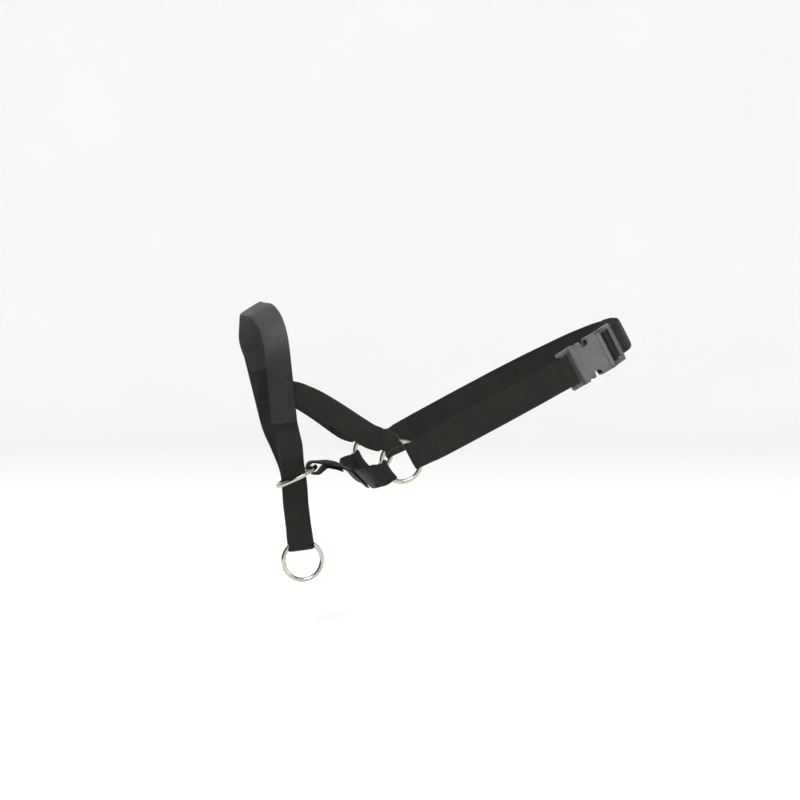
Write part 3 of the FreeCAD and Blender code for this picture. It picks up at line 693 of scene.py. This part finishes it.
def on_bridge(stations):
    """Lays the band's top on the sloping bridge of a nose: its rear edge stands higher, and it
    has slipped forward a little on the far side."""
    back = MUZZLE.inverted()
    for p, n, w, b, x in stations:
        local = back @ p
        share = ramp(local.y, *SLOPE_RISE)
        slip = ramp(local.x, *SLIP_ACROSS) * ramp(local.y, *SLIP_RISE)
        c, s = turn(BRIDGE_TILT * share)
        forward = square_to(n, Vector((-1, 0, 0)))
        lift = BRIDGE_LIFT * math.exp(-((local.x - LIFT_AT) / LIFT_REACH) ** 2)
        p = p + Vector((-BRIDGE_SHIFT * slip, 0, (lift - BRIDGE_DROP) * share))
        yield p, n * c + forward * s, w, b, x


BAND_LINE = [
    (HALF_BAND, 52.0, ARCH), (30.0, 70.0, ARCH), (10.0, 79.3, ARCH),
    (-10.0, 79.3, ARCH), (-30.0, 70.0, ARCH), (-HALF_BAND, 52.0, ARCH),
]
band_path = flat(MUZZLE, [(HALF_BAND, 0.0)] + BAND_LINE + [(-HALF_BAND, 0.0)], FACE + 0.6,
                 outward=-1)
band = Web("nose_band_web", on_bridge(band_path), BAND, *BAND_WEAVE, 1.0, RIBBED)
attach(band.object, "halter")
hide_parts("nose_band")
lining_path = flat(MUZZLE, [(HALF_BAND, LINING_FOOT)] + BAND_LINE + [(-HALF_BAND, LINING_FOOT)],
                   FACE - 0.6, BAND + 0.05, outward=-1)
lining = Web("nose_band_lining_web", on_bridge(lining_path), BAND, *LINING_WEAVE, 4.0, LINING,
             "lining")
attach(lining.object, "halter")
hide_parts("nose_band_lining")

# ---- cheek straps

CHEEK_HEADING, CHEEK_LEAVES, CHEEK_NARROW = 120.0, 151.0, 12.4
CHEEK_IN_BAND, CHEEK_BOW = 37.2, 0.85
cheeks = {}
for name, side in SIDES.items():
    line = [
        (-76.5, 59.2, -13.9), (-83.5, 54.6, -9.6), (-95.9, 48.0, -1.0),
        (-104.4, 44.2, 4.5), (-112.3, 40.6, 9.1), (-121.0, 37.4, 12.9),
        (-124.0, 37.15, 13.7), (-130.5, CHEEK_IN_BAND, 15.0), (-138.3, CHEEK_IN_BAND, 16.4),
    ]
    spots = [Vector((x, side * y, z)) for x, y, z in line]
    stations = from_ring(side, CHEEK_HEADING, CHEEK_LEAVES, spots, CHEEK_NARROW, CHEEK_BOW)
    cheeks[name] = Web(f"cheek_web_{name}", stations, WEB, *FACE_WEAVE, 2.0 + side, PLAIN)
    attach(cheeks[name].object, "halter")
    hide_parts(f"cheek_strap_{name}")

# ---- control and lead strap

LEG_LINE = [
    (-131.8, 37.2, 3.4), (-131.4, 37.1, -0.5), (-130.8, 36.5, -5.4), (-128.6, 32.5, -13.2),
    (-125.6, 23.2, -21.5), (-122.9, 11.4, -31.6), (-120.8, 4.0, -41.0),
    (-119.9, 1.7, -48.5), (-119.4, 1.0, -55.0), (-119.12, 0.9, -60.4),
]
LEAD_WIDTH = FACE + 1.0
LEG_PINCH, PINCH_AT, PINCH_REACH = 1.1, -36.0, 9.0


def leg(side):
    """One leg from the nose band down through the jaw ring, where it's pinched a little."""
    path = flowing([(x, side * y, z) for x, y, z in LEG_LINE])
    made = []
    for p, d in path:
        width = LEAD_WIDTH - LEG_PINCH * math.exp(-((p.z - PINCH_AT) / PINCH_REACH) ** 2)
        made.append((p, square_to(d, Vector((0, side, 0))), width, NONE, NONE))
    return made


def eye_round(mean):
    chord = math.sqrt(mean**2 - (FACE / 2)**2)
    near = chord - WIRE / 2 * mean / chord
    far = mean + WIRE / 2
    return (near + far) / 2, (far - near) / 2 + GAP + WEB / 2


LEAD_REACH, EYE = eye_round(RING_MEAN)
EYE_DROP = -26.0
HALF_LAYERS = 0.85
hanging = flat(LEAD, [
    (-HALF_LAYERS, 0.6), (-HALF_LAYERS, -15.0, 6.0), (-EYE, EYE_DROP + 3.0, 6.0),
    (-EYE, EYE_DROP - EYE, EYE), (EYE, EYE_DROP - EYE, EYE),
    (EYE, EYE_DROP + 3.0, 6.0), (HALF_LAYERS, -15.0, 6.0), (HALF_LAYERS, 0.6),
], LEAD_WIDTH, outward=-1)
control = Web("control_web", leg(-1) + hanging + leg(1)[::-1], WEB, *FACE_WEAVE, 5.0,
              PLAIN)
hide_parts("control_strap_left", "control_strap_right", "lead_strap")
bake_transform(control.object)

# ---- throat strap

THROAT_HEADING = 214.0
THROAT_FRONT = (-74.9, -43.75)
THROAT_ACROSS = Vector((0.725, 0, -0.689))
THROAT_NARROW, THROAT_BOW = 14.2, 0.5
THROAT_AT_RING, THROAT_CLEAR = 13.8, 17.0     # reach from the ring's centre
HALF_THROAT = [(-75.7, 58.6, -40.5), (-77.4, 48.0, -42.0), (-77.0, 31.0, -43.2),
               (-75.4, 14.0, -43.7)]


def throat_stations():
    there = [(x, -y, z) for x, y, z in HALF_THROAT]
    back = [(x, y, z) for x, y, z in reversed(HALF_THROAT)]
    at_wire = [(THROAT_AT_RING, FOLD), (THROAT_CLEAR, FOLD - 1.1)]
    start = [ring_point(-1, THROAT_HEADING, *spot) for spot in at_wire]
    stop = [ring_point(1, THROAT_HEADING, *spot) for spot in reversed(at_wire)]
    path = flowing(start + there + [(THROAT_FRONT[0], 0, THROAT_FRONT[1])] + back + stop)
    gone = lengths(path)
    at_ring, away = -facing(THROAT_HEADING - 90), facing(THROAT_HEADING)
    run = []
    for k, (point, along) in enumerate(path):
        near_front = 1 - abs(2 * k / (len(path) - 1) - 1)
        across = square_to(along, at_ring * (1 - near_front) + THROAT_ACROSS * near_front)
        t = eased(min(gone[k], gone[-1] - gone[k]) / RUN_GATHER)
        width = THROAT_NARROW + (FACE - THROAT_NARROW) * t
        run.append((point, across.cross(along).normalized(), width,
                    away * (-THROAT_BOW * (1 - t)), NONE))
    near, far = HALF_THROAT[0], HALF_THROAT[1]
    tabs = {}
    for side in (-1, 1):
        spots = [Vector((far[0] + 1.3, side * (far[1] - 0.6), far[2] + 0.6)),
                 Vector((near[0] + 0.9, side * (near[1] - 1.5), near[2] + 0.5)),
                 ring_point(side, THROAT_HEADING, THROAT_CLEAR, -FOLD + 0.4),
                 ring_point(side, THROAT_HEADING, THROAT_AT_RING, -FOLD)]
        back_path = [(p, d * -1) for p, d in reversed(flowing(spots))]
        tab = gathered(back_path, Vector((0, -side, 0)), THROAT_NARROW, FACE, RUN_GATHER,
                       away * -THROAT_BOW)
        fold = ring_fold(side, THROAT_HEADING, THROAT_NARROW, THROAT_BOW)
        tabs[side] = tab[::-1] + fold
    return tabs[-1] + run + tabs[1][::-1]


throat = Web("throat_web", throat_stations(), WEB, *FACE_WEAVE, 7.0, PLAIN)
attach(throat.object, "halter")
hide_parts("throat_strap")

# ---- chin connector

CONNECTOR_ROLL = 10.0
JAW_REACH, JAW_EYE = eye_round(JAW_MEAN)
EYE_X = JAW_CENTRE.x + JAW_REACH * JAW_C
EYE_Z = JAW_CENTRE.z + JAW_REACH * JAW_S
ROLL_MIDDLE, ROLL_REACH = -94.0, 14.0


def rolled(stations):
    """Rolls a run about its own length, most at a middle x and not at all beyond a reach."""
    for p, n, w, b, x in stations:
        share = 1 - eased(abs(p.x - ROLL_MIDDLE) / ROLL_REACH)
        c, s = turn(-CONNECTOR_ROLL * share)
        lean = Vector((0, 1, 0))
        up = 1 if n.z > 0 else -1
        yield p, n * c + lean * (s * up), w, b, x


connector = Web("connector_web", rolled(flat(CHIN, [
    (-70.4, -50.6), (-82.1, -39.5, 3.0), (-85.2, -38.1, 5.0), (-91.0, -35.1, 8.0),
    (-98.0, -33.7, 10.0),
    (EYE_X - JAW_EYE, EYE_Z + JAW_EYE, 0.9 * JAW_EYE),
    (EYE_X - JAW_EYE, EYE_Z - JAW_EYE, JAW_EYE), (-104.0, EYE_Z - JAW_EYE, 2.5),
    (-98.7, -35.55, 3.0), (-92.0, -36.65, 6.0), (-87.4, -38.8),
], FACE)), WEB, *FACE_WEAVE, 9.0, PLAIN)
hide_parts("connector_tab", "chin_connector")
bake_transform(connector.object)

# ---- neck strap

RING_P = RING_X * COLLAR_C + RING_Z * COLLAR_S
NECK_NARROW = 17.6
NECK_REACH = math.sqrt(RING_MEAN**2 - (NECK_NARROW / 2)**2) - 0.35
APEX = RING_P + NECK_REACH - FOLD
INNER = SPAN - FOLD
OUTER = SPAN + FOLD
BOW = (-20.0, 66.8)
TAB_END = RING_P + 31.0
TAB_START = RING_P + 20.0


def outer_layer(p):
    return OUTER + (BOW[1] - OUTER) * (p - APEX) / (BOW[0] - APEX)


def at_buckle(x, y):
    return (BUCKLE_FOOT[0] + x * BUCKLE_C - y * BUCKLE_S,
            BUCKLE_FOOT[1] + x * BUCKLE_S + y * BUCKLE_C)


def ladder_in_collar(x, y):
    return at_buckle(LADDER_X + x * LADDER_C - y * LADDER_S, x * LADDER_S + y * LADDER_C)


def ring_end(side):
    return [
        (TAB_END, side * (outer_layer(TAB_END) - LAYER)),
        (TAB_START, side * (outer_layer(TAB_START) - LAYER), 9.0),
        (RING_P + 14.5, side * INNER, 7.0),
        (APEX, side * INNER, FOLD), (APEX, side * OUTER, FOLD),
    ]


NECK_NARROW_TO, NECK_GATHER = 3.0, 13.0


def gather_at_fold(stations, side):
    """Narrows neck webbing towards its fold at a side ring."""
    fold = COLLAR @ Vector((APEX, side * SPAN, 0))
    for p, n, w, b, x in stations:
        t = ramp((p - fold).length, NECK_NARROW_TO, NECK_GATHER)
        yield p, n, NECK_NARROW + (w - NECK_NARROW) * t, b, x


PLATE = 1.75                 # half the thickness of the buckle's loop end
BAR_FOLD = PLATE + GAP + WEB / 2 + 0.15
BAR_X = 3.8
HALF_SEW = LAYER / 2 + 0.02
near_neck = flat(COLLAR, ring_end(-1) + [
    (BOW[0], -BOW[1]), (25.0, -67.6), (*at_buckle(-10.0, -HALF_SEW), 30.0),
    (*at_buckle(-3.0, -BAR_FOLD), 6.0),
    (*at_buckle(BAR_X + BAR_FOLD, -BAR_FOLD), BAR_FOLD),
    (*at_buckle(BAR_X + BAR_FOLD, BAR_FOLD), BAR_FOLD),
    (*at_buckle(-3.0, BAR_FOLD), 6.0), (*at_buckle(-10.0, HALF_SEW), 12.0),
    (33.2, -65.0),
], NECK, outward=-1)
neck_left = Web("neck_web_left", gather_at_fold(near_neck, -1), WEB, *NECK_WEAVE, 11.0, PLAIN)
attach(neck_left.object, "halter")
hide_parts("neck_strap_left")

SLOT_A_MID, SLOT_B_MID, TIGHT = 7.5, 3.1, 1.3
OVER_BAR, LOAD = -2.0, 3.1
TAIL = LOAD - LAYER - 0.2
NAPE_LINE = [(108.5, -33.0), (114.3, -17.0), (114.6, 6.0), (107.5, 29.0), (90.0, 48.0),
             (60.0, 61.5), (22.0, 67.6), BOW]


def tail_line(points):
    clear = LAYER + 0.25
    return [(x + clear * c, y + clear * s) for x, y, (c, s) in points]


far_neck = flat(COLLAR, [
    *reversed(tail_line([(114.6, 6.0, turn(9)), (111.0, 17.8, turn(17))])),
    *reversed(tail_line([(108.5, -33.0, turn(-36)), (114.3, -17.0, turn(-10))])),
    (*ladder_in_collar(14.6, TAIL), 4.0), (*ladder_in_collar(SLOT_A_MID, TAIL), TIGHT),
    (*ladder_in_collar(SLOT_A_MID, OVER_BAR), TIGHT),
    (*ladder_in_collar(SLOT_B_MID, OVER_BAR), TIGHT),
    (*ladder_in_collar(SLOT_B_MID, LOAD), TIGHT),
    (*ladder_in_collar(17.6, LOAD), 12.0), *NAPE_LINE, *ring_end(1)[::-1],
], NECK, outward=-1)
neck_right = Web("neck_web_right", gather_at_fold(far_neck, 1), WEB, *NECK_WEAVE, 13.0, PLAIN)
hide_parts("neck_strap_right", "nape_webbing", "adjuster_webbing", "strap_tail")
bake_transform(neck_right.object)

# ---- rings


WELD_BEAD, WELD_GROOVE = (0.09, 0.9), (0.05, 0.18)     # height and length


def wire_ring(name, centre, axis, mean, weld, body):
    """A bent and butt-welded wire ring: the weld is a slight swelling with a ground flat."""
    axis = Vector(axis).normalized()
    x = square_to(axis, axis.orthogonal().normalized())
    y = axis.cross(x)
    major, minor = 192, 28
    theta = np.linspace(0, 2 * np.pi, major, endpoint=False)
    phi = np.linspace(0, 2 * np.pi, minor, endpoint=False)
    off = (theta - math.radians(weld) + np.pi) % (2 * np.pi) - np.pi
    arc = off * mean
    bead, groove = (high * np.exp(-(arc / long) ** 2) for high, long in (WELD_BEAD, WELD_GROOVE))
    out_of_round = 0.06 * np.cos(2 * theta + 0.7) + 0.03 * np.cos(3 * theta)
    radius = WIRE / 2 + (bead - groove)[:, None] * (1 - 0.4 * np.cos(phi)[None, :])
    big = mean + out_of_round
    ring = (big[:, None] + radius * np.cos(phi)[None, :])
    rise = radius * np.sin(phi)[None, :]
    spin = np.outer(np.cos(theta), x) + np.outer(np.sin(theta), y)
    co = np.array(centre) + spin[:, None] * ring[:, :, None] + rise[:, :, None] * np.array(axis)
    faces, uv = [], []
    for i in range(major):
        k = (i + 1) % major
        for j in range(minor):
            m = (j + 1) % minor
            faces.append([i * minor + j, k * minor + j, k * minor + m, i * minor + m])
            a0, a1 = i * 2 * np.pi * mean / major, (i + 1) * 2 * np.pi * mean / major
            b0, b1 = j * np.pi * WIRE / minor, (j + 1) * np.pi * WIRE / minor
            uv += [(a0, b0), (a1, b0), (a1, b1), (a0, b1)]
    made = new_mesh(name + "_wire", co.reshape(-1, 3), faces, np.array(uv) * UV_SCALE, NICKEL)
    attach(made, body)
    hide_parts(name)
    return made


for name, side in SIDES.items():
    wire_ring(f"side_ring_{name}", (RING_X, side * SPAN, RING_Z), (0, 1, 0), RING_MEAN,
              70.0, f"side_ring_{name}")
wire_ring("jaw_ring", JAW_CENTRE, (-JAW_S, 0, JAW_C), JAW_MEAN, 110.0, "jaw_ring")
wire_ring("lead_ring", LEAD @ Vector((0, EYE_DROP - LEAD_REACH, 0)), (0, 1, 0), RING_MEAN,
          75.0, "lead_ring")

# ---- buckle

# local X from the socket's loop to the plug, Y towards the neck, Z across the webbing


def solid(name, sections):
    """A closed mesh lofted through rings of points, in the buckle's own millimetres."""
    rows, cols = len(sections), len(sections[0])
    mesh = bare_mesh(name, [p for section in sections for p in section], skin(rows, cols))
    face_out(mesh)
    return in_scene(name, mesh)


CORNER_STEPS = 6


def round_rect(half_y, half_z, radius, middle_y=0.0, middle_z=0.0):
    """(y, z) points of a rectangle with round corners."""
    found = []
    for sy, sz, start in ((1, 1, 0), (-1, 1, 90), (-1, -1, 180), (1, -1, 270)):
        for n in range(CORNER_STEPS + 1):
            c, s = turn(start + 90 * n / CORNER_STEPS)
            found.append((middle_y + sy * (half_y - radius) + radius * c,
                          middle_z + sz * (half_z - radius) + radius * s))
    return found


def along_x(name, x0, x1, half_y, half_z, radius, middle_y=0.0, middle_z=0.0, end=0.0):
    """A bar along X; end rounds both of its ends."""
    stops = [(x0, end), (x0 + end * 0.3, end * 0.45), (x0 + end, 0.0),
             (x1 - end, 0.0), (x1 - end * 0.3, end * 0.45), (x1, end)]
    if end == 0:
        stops = [(x0, 0.0), (x1, 0.0)]
    return solid(name, [
        [(x, y, z) for y, z in round_rect(half_y - cut, half_z - cut, max(radius - cut * 0.5, 0.15),
                                          middle_y, middle_z)]
        for x, cut in stops])


def across_z(name, x0, x1, half_y, z0, z1, radius, middle_y=0.0):
    """A bar along Z with a rounded section."""
    middle = (x0 + x1) / 2
    section = round_rect(half_y, (x1 - x0) / 2, radius, middle_y, 0.0)
    return solid(name, [[(middle + x, y, z) for y, x in section] for z in (z0, z1)])


def prism(name, outline, low, high):
    """An outline of (x, z) points pushed through Y."""
    return solid(name, [[(x, y, z) for x, z in outline] for y in (low, high)])


def combine(base, other, operation):
    modifier = base.modifiers.new("combine", "BOOLEAN")
    modifier.operation = operation
    modifier.solver = "EXACT"
    modifier.object = other
    bake(base)
    bpy.data.objects.remove(other)


def bake(obj):
    """Applies an object's modifiers."""
    graph = bpy.context.evaluated_depsgraph_get()
    mesh = bpy.data.meshes.new_from_object(obj.evaluated_get(graph))
    obj.modifiers.clear()
    obj.data = mesh


BEVEL, PRONG_BEVEL, BEVEL_STEPS, BEVEL_FROM = 0.42, 0.5, 3, math.radians(32)
JOIN_WITHIN, WEAR_RISE = 0.002, 2.2


def finish_moulding(obj, body, bevel, *nodes):
    """Rounds the edges, marks the rubbed ones and puts the moulding in its place."""
    edges = obj.modifiers.new("edges", "BEVEL")
    edges.width = bevel
    edges.segments = BEVEL_STEPS
    edges.limit_method = "ANGLE"
    edges.angle_limit = BEVEL_FROM
    edges.use_clamp_overlap = True
    bake(obj)
    mesh = obj.data
    edit = bmesh.new()
    edit.from_mesh(mesh)
    bmesh.ops.remove_doubles(edit, verts=edit.verts, dist=JOIN_WITHIN)
    bmesh.ops.recalc_face_normals(edit, faces=edit.faces)
    wear = []
    for vert in edit.verts:
        sharp = [e.calc_face_angle_signed(0.0) for e in vert.link_edges if len(e.link_faces) == 2]
        wear.append(min(1.0, max(0.0, max(sharp, default=0.0) * WEAR_RISE)))
    edit.to_mesh(mesh)
    edit.free()
    mesh.attributes.new("wear", "FLOAT", "POINT").data.foreach_set("value", wear)
    mesh.transform(Matrix.Scale(MM, 4) @ BUCKLE)
    smooth(mesh)
    mesh.materials.clear()
    mesh.materials.append(ACETAL)
    normals = obj.modifiers.new("normals", "WEIGHTED_NORMAL")
    normals.keep_sharp = False
    bake(obj)
    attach(obj, body)
    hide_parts(*nodes)
    return obj


HALF, BODY = 13.5, 4.0       # half the width, and half the body's thickness
BODY_ROUND = 1.7
SOCKET_END, MOUTH = 8.8, 31.7
ARM_Z, ARM_HALF = 11.95, 1.55
RIDGE_END = HALF - 0.35
socket = along_x("buckle_socket_shell", SOCKET_END, MOUTH, BODY, HALF, BODY_ROUND)
combine(socket, across_z("ridge", 9.0, 13.1, 4.75, -RIDGE_END, RIDGE_END, 1.9), "UNION")
combine(socket, across_z("loop_bar", BAR_X - 1.5, BAR_X + 1.5, PLATE, -12.5, 12.5, 1.2), "UNION")
for z in (-1, 1):
    arm = along_x("loop_arm", 0.0, 10.5, PLATE, ARM_HALF, 0.9, 0.0, z * ARM_Z, end=1.0)
    combine(socket, arm, "UNION")
combine(socket, along_x("cavity", 12.9, MOUTH + 2, 2.75, 12.3, 0.6), "DIFFERENCE")
WINDOW = [(13.3, 16.0), (13.3, 12.6), (13.9, 11.2), (15.6, 9.9), (18.0, 9.0), (21.6, 8.8),
          (23.3, 9.4), (24.2, 10.8), (24.4, 12.6), (24.4, 16.0)]
for z in (-1, 1):
    combine(socket, prism("window", [(x, z * w) for x, w in WINDOW], -8, 8), "DIFFERENCE")
finish_moulding(socket, "halter", BEVEL, "buckle_socket")

LADDER = basis((LADDER_X, 0, 0), (LADDER_C, LADDER_S, 0), (-LADDER_S, LADDER_C, 0))
LADDER_END, LADDER_BAR = 14.2, 11.5


def tilted(obj):
    """Turns a piece of the ladder lock to its bend."""
    obj.data.transform(LADDER)
    return obj


plug = along_x("buckle_plug_shell", MOUTH + 0.3, LADDER_X + 0.4, BODY, HALF, BODY_ROUND)
combine(plug, along_x("tongue", 20.5, LADDER_X - 1.5, 1.8, 2.6, 0.5, end=0.6), "UNION")
for z in (-1, 1):
    rail = along_x("rail", -1.2, LADDER_END, PLATE, ARM_HALF, 0.7, 0.0, z * ARM_Z, end=0.9)
    combine(plug, tilted(rail), "UNION")
bar = across_z("bar_middle", 4.2, 6.4, 1.05, -LADDER_BAR, LADDER_BAR, 0.8)
combine(plug, tilted(bar), "UNION")
bar = across_z("bar_end", 10.6, LADDER_END, 1.1, -LADDER_BAR, LADDER_BAR, 0.9, -0.65)
combine(plug, tilted(bar), "UNION")
finish_moulding(plug, "buckle_plug", BEVEL, "buckle_plug")

PRONG = [
    (31.6, 6.6), (31.6, 9.0), (23.0, 8.4), (20.6, 8.8), (19.9, 10.2), (19.7, 12.2), (19.0, 13.1),
    (17.6, 13.2), (16.1, 12.3), (14.6, 10.7), (13.9, 9.0), (14.5, 7.9), (15.8, 7.2), (20.0, 6.7),
    (24.0, 6.6),
]
for name, z in (("upper", 1), ("lower", -1)):
    prong = prism(f"buckle_prong_{name}_shell", [(x, z * w) for x, w in PRONG], -2.0, 2.0)
    finish_moulding(prong, f"prong_{name}", PRONG_BEVEL, f"buckle_prong_{name}")

# ---- stitching

# Seams are placed by the distance from the fold or the foot of their webbing. way is 1 where
# the webbing's length runs away from it. The knot's loops, where the cheek's seam was tied
# off, are each a start, a reach along the edge and a lift.
KNOT = [(6.2, 3.0, 0.9), (7.0, 2.4, 1.5), (8.1, 2.6, 1.1), (9.4, 3.1, 1.4), (10.4, 2.2, 0.8),
        (6.8, 4.6, 0.5), (8.8, 3.6, 0.7)]

for name, side in SIDES.items():
    threads = Threads()
    foot = band.nearest(MUZZLE @ Vector((side * HALF_BAND, 0.0, 0)))
    way = 1 if foot < FACE else -1
    rows = [foot + way * 1.7, foot + way * 31.0]
    for row in rows:
        threads.across(band, row, 7.0, 2.0)
    for a in (-6.9, 6.9, -2.6):
        threads.line(band, (rows[0], a), (rows[1], a))
    threads.build(f"nose_band_seam_{name}", "halter", f"stitching_nose_band_{name}")

    threads = Threads()
    cheek = cheeks[name]
    fold = cheek.nearest(ring_point(side, CHEEK_HEADING, 9.7, 0.0))
    threads.across(cheek, fold + 15.5, 6.6)
    edge, other = (cheek.spot(fold + 13.0, a, 1)[0].z for a in (6.5, -6.5))
    upper = 1 if edge > other else -1
    for start, reach, lift in KNOT:
        path = []
        for n in range(13):
            t = n / 12
            p, along, across, normal = cheek.spot(fold + start + reach * t, upper * 6.9, 1)
            path.append(p + across * (upper * (0.3 + lift * math.sin(math.pi * t)))
                        + normal * (0.35 * math.sin(2 * math.pi * t + start) - 0.5))
        threads.add(path, KNOT_RADIUS)
    threads.build(f"cheek_seam_{name}", "halter")

    threads = Threads()
    fold = throat.nearest(ring_point(side, THROAT_HEADING, 9.2, 0.0))
    way = 1 if side < 0 else -1
    threads.across(throat, fold + way * 7.5, 6.0)
    threads.across(throat, fold + way * 14.0, 6.6)
    threads.build(f"throat_seam_{name}", "halter")

    threads = Threads()
    web = neck_left if side < 0 else neck_right
    outside = COLLAR @ Vector((APEX, side * (OUTER + 3), 0))
    fold = web.nearest(outside)
    way = 1 if side < 0 else -1
    threads.rows(web, [fold + way * 8.0, fold + way * 18.5], 8.6)
    threads.build(f"neck_ring_seam_{name}", "halter", f"stitching_neck_{name}_ring")

threads = Threads()
row = neck_left.nearest(COLLAR @ Vector((*at_buckle(-18.6, -4.0), 0)))
threads.rows(neck_left, [row, row + 2.0, row + 9.5], 8.8)
threads.build("neck_buckle_seam", "halter", "stitching_neck_left_buckle")

threads = Threads()
low = connector.nearest((-73.0, 0, -48.2))
high = connector.nearest((-80.0, 0, -41.6))
threads.box(connector, low, high, 6.4, -1)
threads.build("connector_tab_seam", "halter", "stitching_connector_tab")

# ---- stage, light, camera

low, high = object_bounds()


def plain_material(name, colour, rough):
    n = Nodes(name)
    soft = n.noise(n.place(), 0.004, 2.0)
    shade = [c * 0.985 for c in colour]
    return n.done(n.mix(n.span(soft, 0.3, 0.7, 0.0, 1.0), colour, shade), rough)


FLOOR_GAP = 0.030
FLOOR_REACH, WALL_CURVE, WALL_TOP = 2.4, 0.9, 3.6


def bowl():
    """Pale floor that curves up into a wall all round."""
    profile = [(0.0, 0.0), (FLOOR_REACH, 0.0)]
    for n in range(1, 13):
        c, s = turn(90 * n / 12)
        profile.append((FLOOR_REACH + WALL_CURVE * s, WALL_CURVE * (1 - c)))
    profile.append((FLOOR_REACH + WALL_CURVE, WALL_TOP))
    sides = 96
    floor = low.z - FLOOR_GAP
    co = [(0.0, 0.0, floor)]
    for r, z in profile[1:]:
        for k in range(sides):
            c, s = turn(360 * k / sides)
            co.append((r * c, r * s, floor + z))
    faces = [[0, 1 + k, 1 + (k + 1) % sides] for k in range(sides)]
    for row in range(len(profile) - 2):
        for k in range(sides):
            m = (k + 1) % sides
            a, b = 1 + row * sides, 1 + (row + 1) * sides
            faces.append([a + k, b + k, b + m, a + m])
    mesh = bare_mesh("bowl", co, faces)
    smooth(mesh)
    made = in_scene("bowl", mesh)
    mesh.materials.append(plain_material("studio_white", (0.94, 0.94, 0.935), 0.9))


bowl()


def card(name, centre, size, grey):
    """A dark card that only the shiny surfaces see, as a studio flag."""
    c = Vector(centre)
    facing = -c.normalized()
    x = Vector((0, 0, 1)).cross(facing).normalized() * (size[0] / 2)
    y = facing.cross(x).normalized() * (size[1] / 2)
    mesh = bare_mesh(name, [c - x - y, c + x - y, c + x + y, c - x + y], [[0, 1, 2, 3]])
    made = in_scene(name, mesh)
    mesh.materials.append(plain_material(name + "_card", (grey, grey, grey), 0.9))
    for rays in ("camera", "diffuse", "shadow", "transmission"):
        setattr(made, "visible_" + rays, False)


card("flag_left", (-1.25, -0.15, 0.15), (2.6, 1.9), 0.02)
card("flag_over", (-0.15, 0.35, 1.15), (2.6, 1.5), 0.03)
card("flag_right", (1.55, 0.95, 0.0), (0.35, 1.8), 0.05)


def aim(made, place, direction):
    made.location = place
    made.rotation_mode = "QUATERNION"
    made.rotation_quaternion = direction.to_track_quat("-Z", "Y")


def area(name, place, target, size, energy):
    data = bpy.data.lights.new(name, "AREA")
    data.shape = "RECTANGLE"
    data.size, data.size_y = size
    data.energy = energy
    made = in_scene(name, data)
    aim(made, place, Vector(target) - Vector(place))
    made.visible_camera = False


area("key", (-0.5, -1.1, 1.5), (-0.05, 0, 0.0), (0.9, 0.7), 22)
area("fill", (1.3, -1.6, 0.6), (0, 0, 0), (0.9, 0.9), 7)
area("top", (0.1, 0.1, 2.2), (0, 0, 0), (1.6, 1.2), 10)

WORLD_STRENGTH = 0.88
world = bpy.data.worlds.new("studio")
world.use_nodes = True
background = world.node_tree.nodes["Background"]
background.inputs[0].default_value = (1, 1, 1, 1)
background.inputs[1].default_value = WORLD_STRENGTH
bpy.context.scene.world = world
bpy.context.scene.view_settings.view_transform = "Standard"

CAMERA_AT, LENS, SENSOR = (-0.3362, -1.8178, 0.0722), 123.1, 36.0
ahead, across = turn(-9.0)   # azimuth
level, rise = turn(2.0)      # elevation
back = Vector((across * level, -ahead * level, rise))
data = bpy.data.cameras.new("camera")
data.sensor_width = SENSOR
data.lens = LENS
data.clip_start, data.clip_end = 0.05, 50
camera = in_scene("camera", data)
aim(camera, CAMERA_AT, -back)
bpy.context.scene.camera = camera
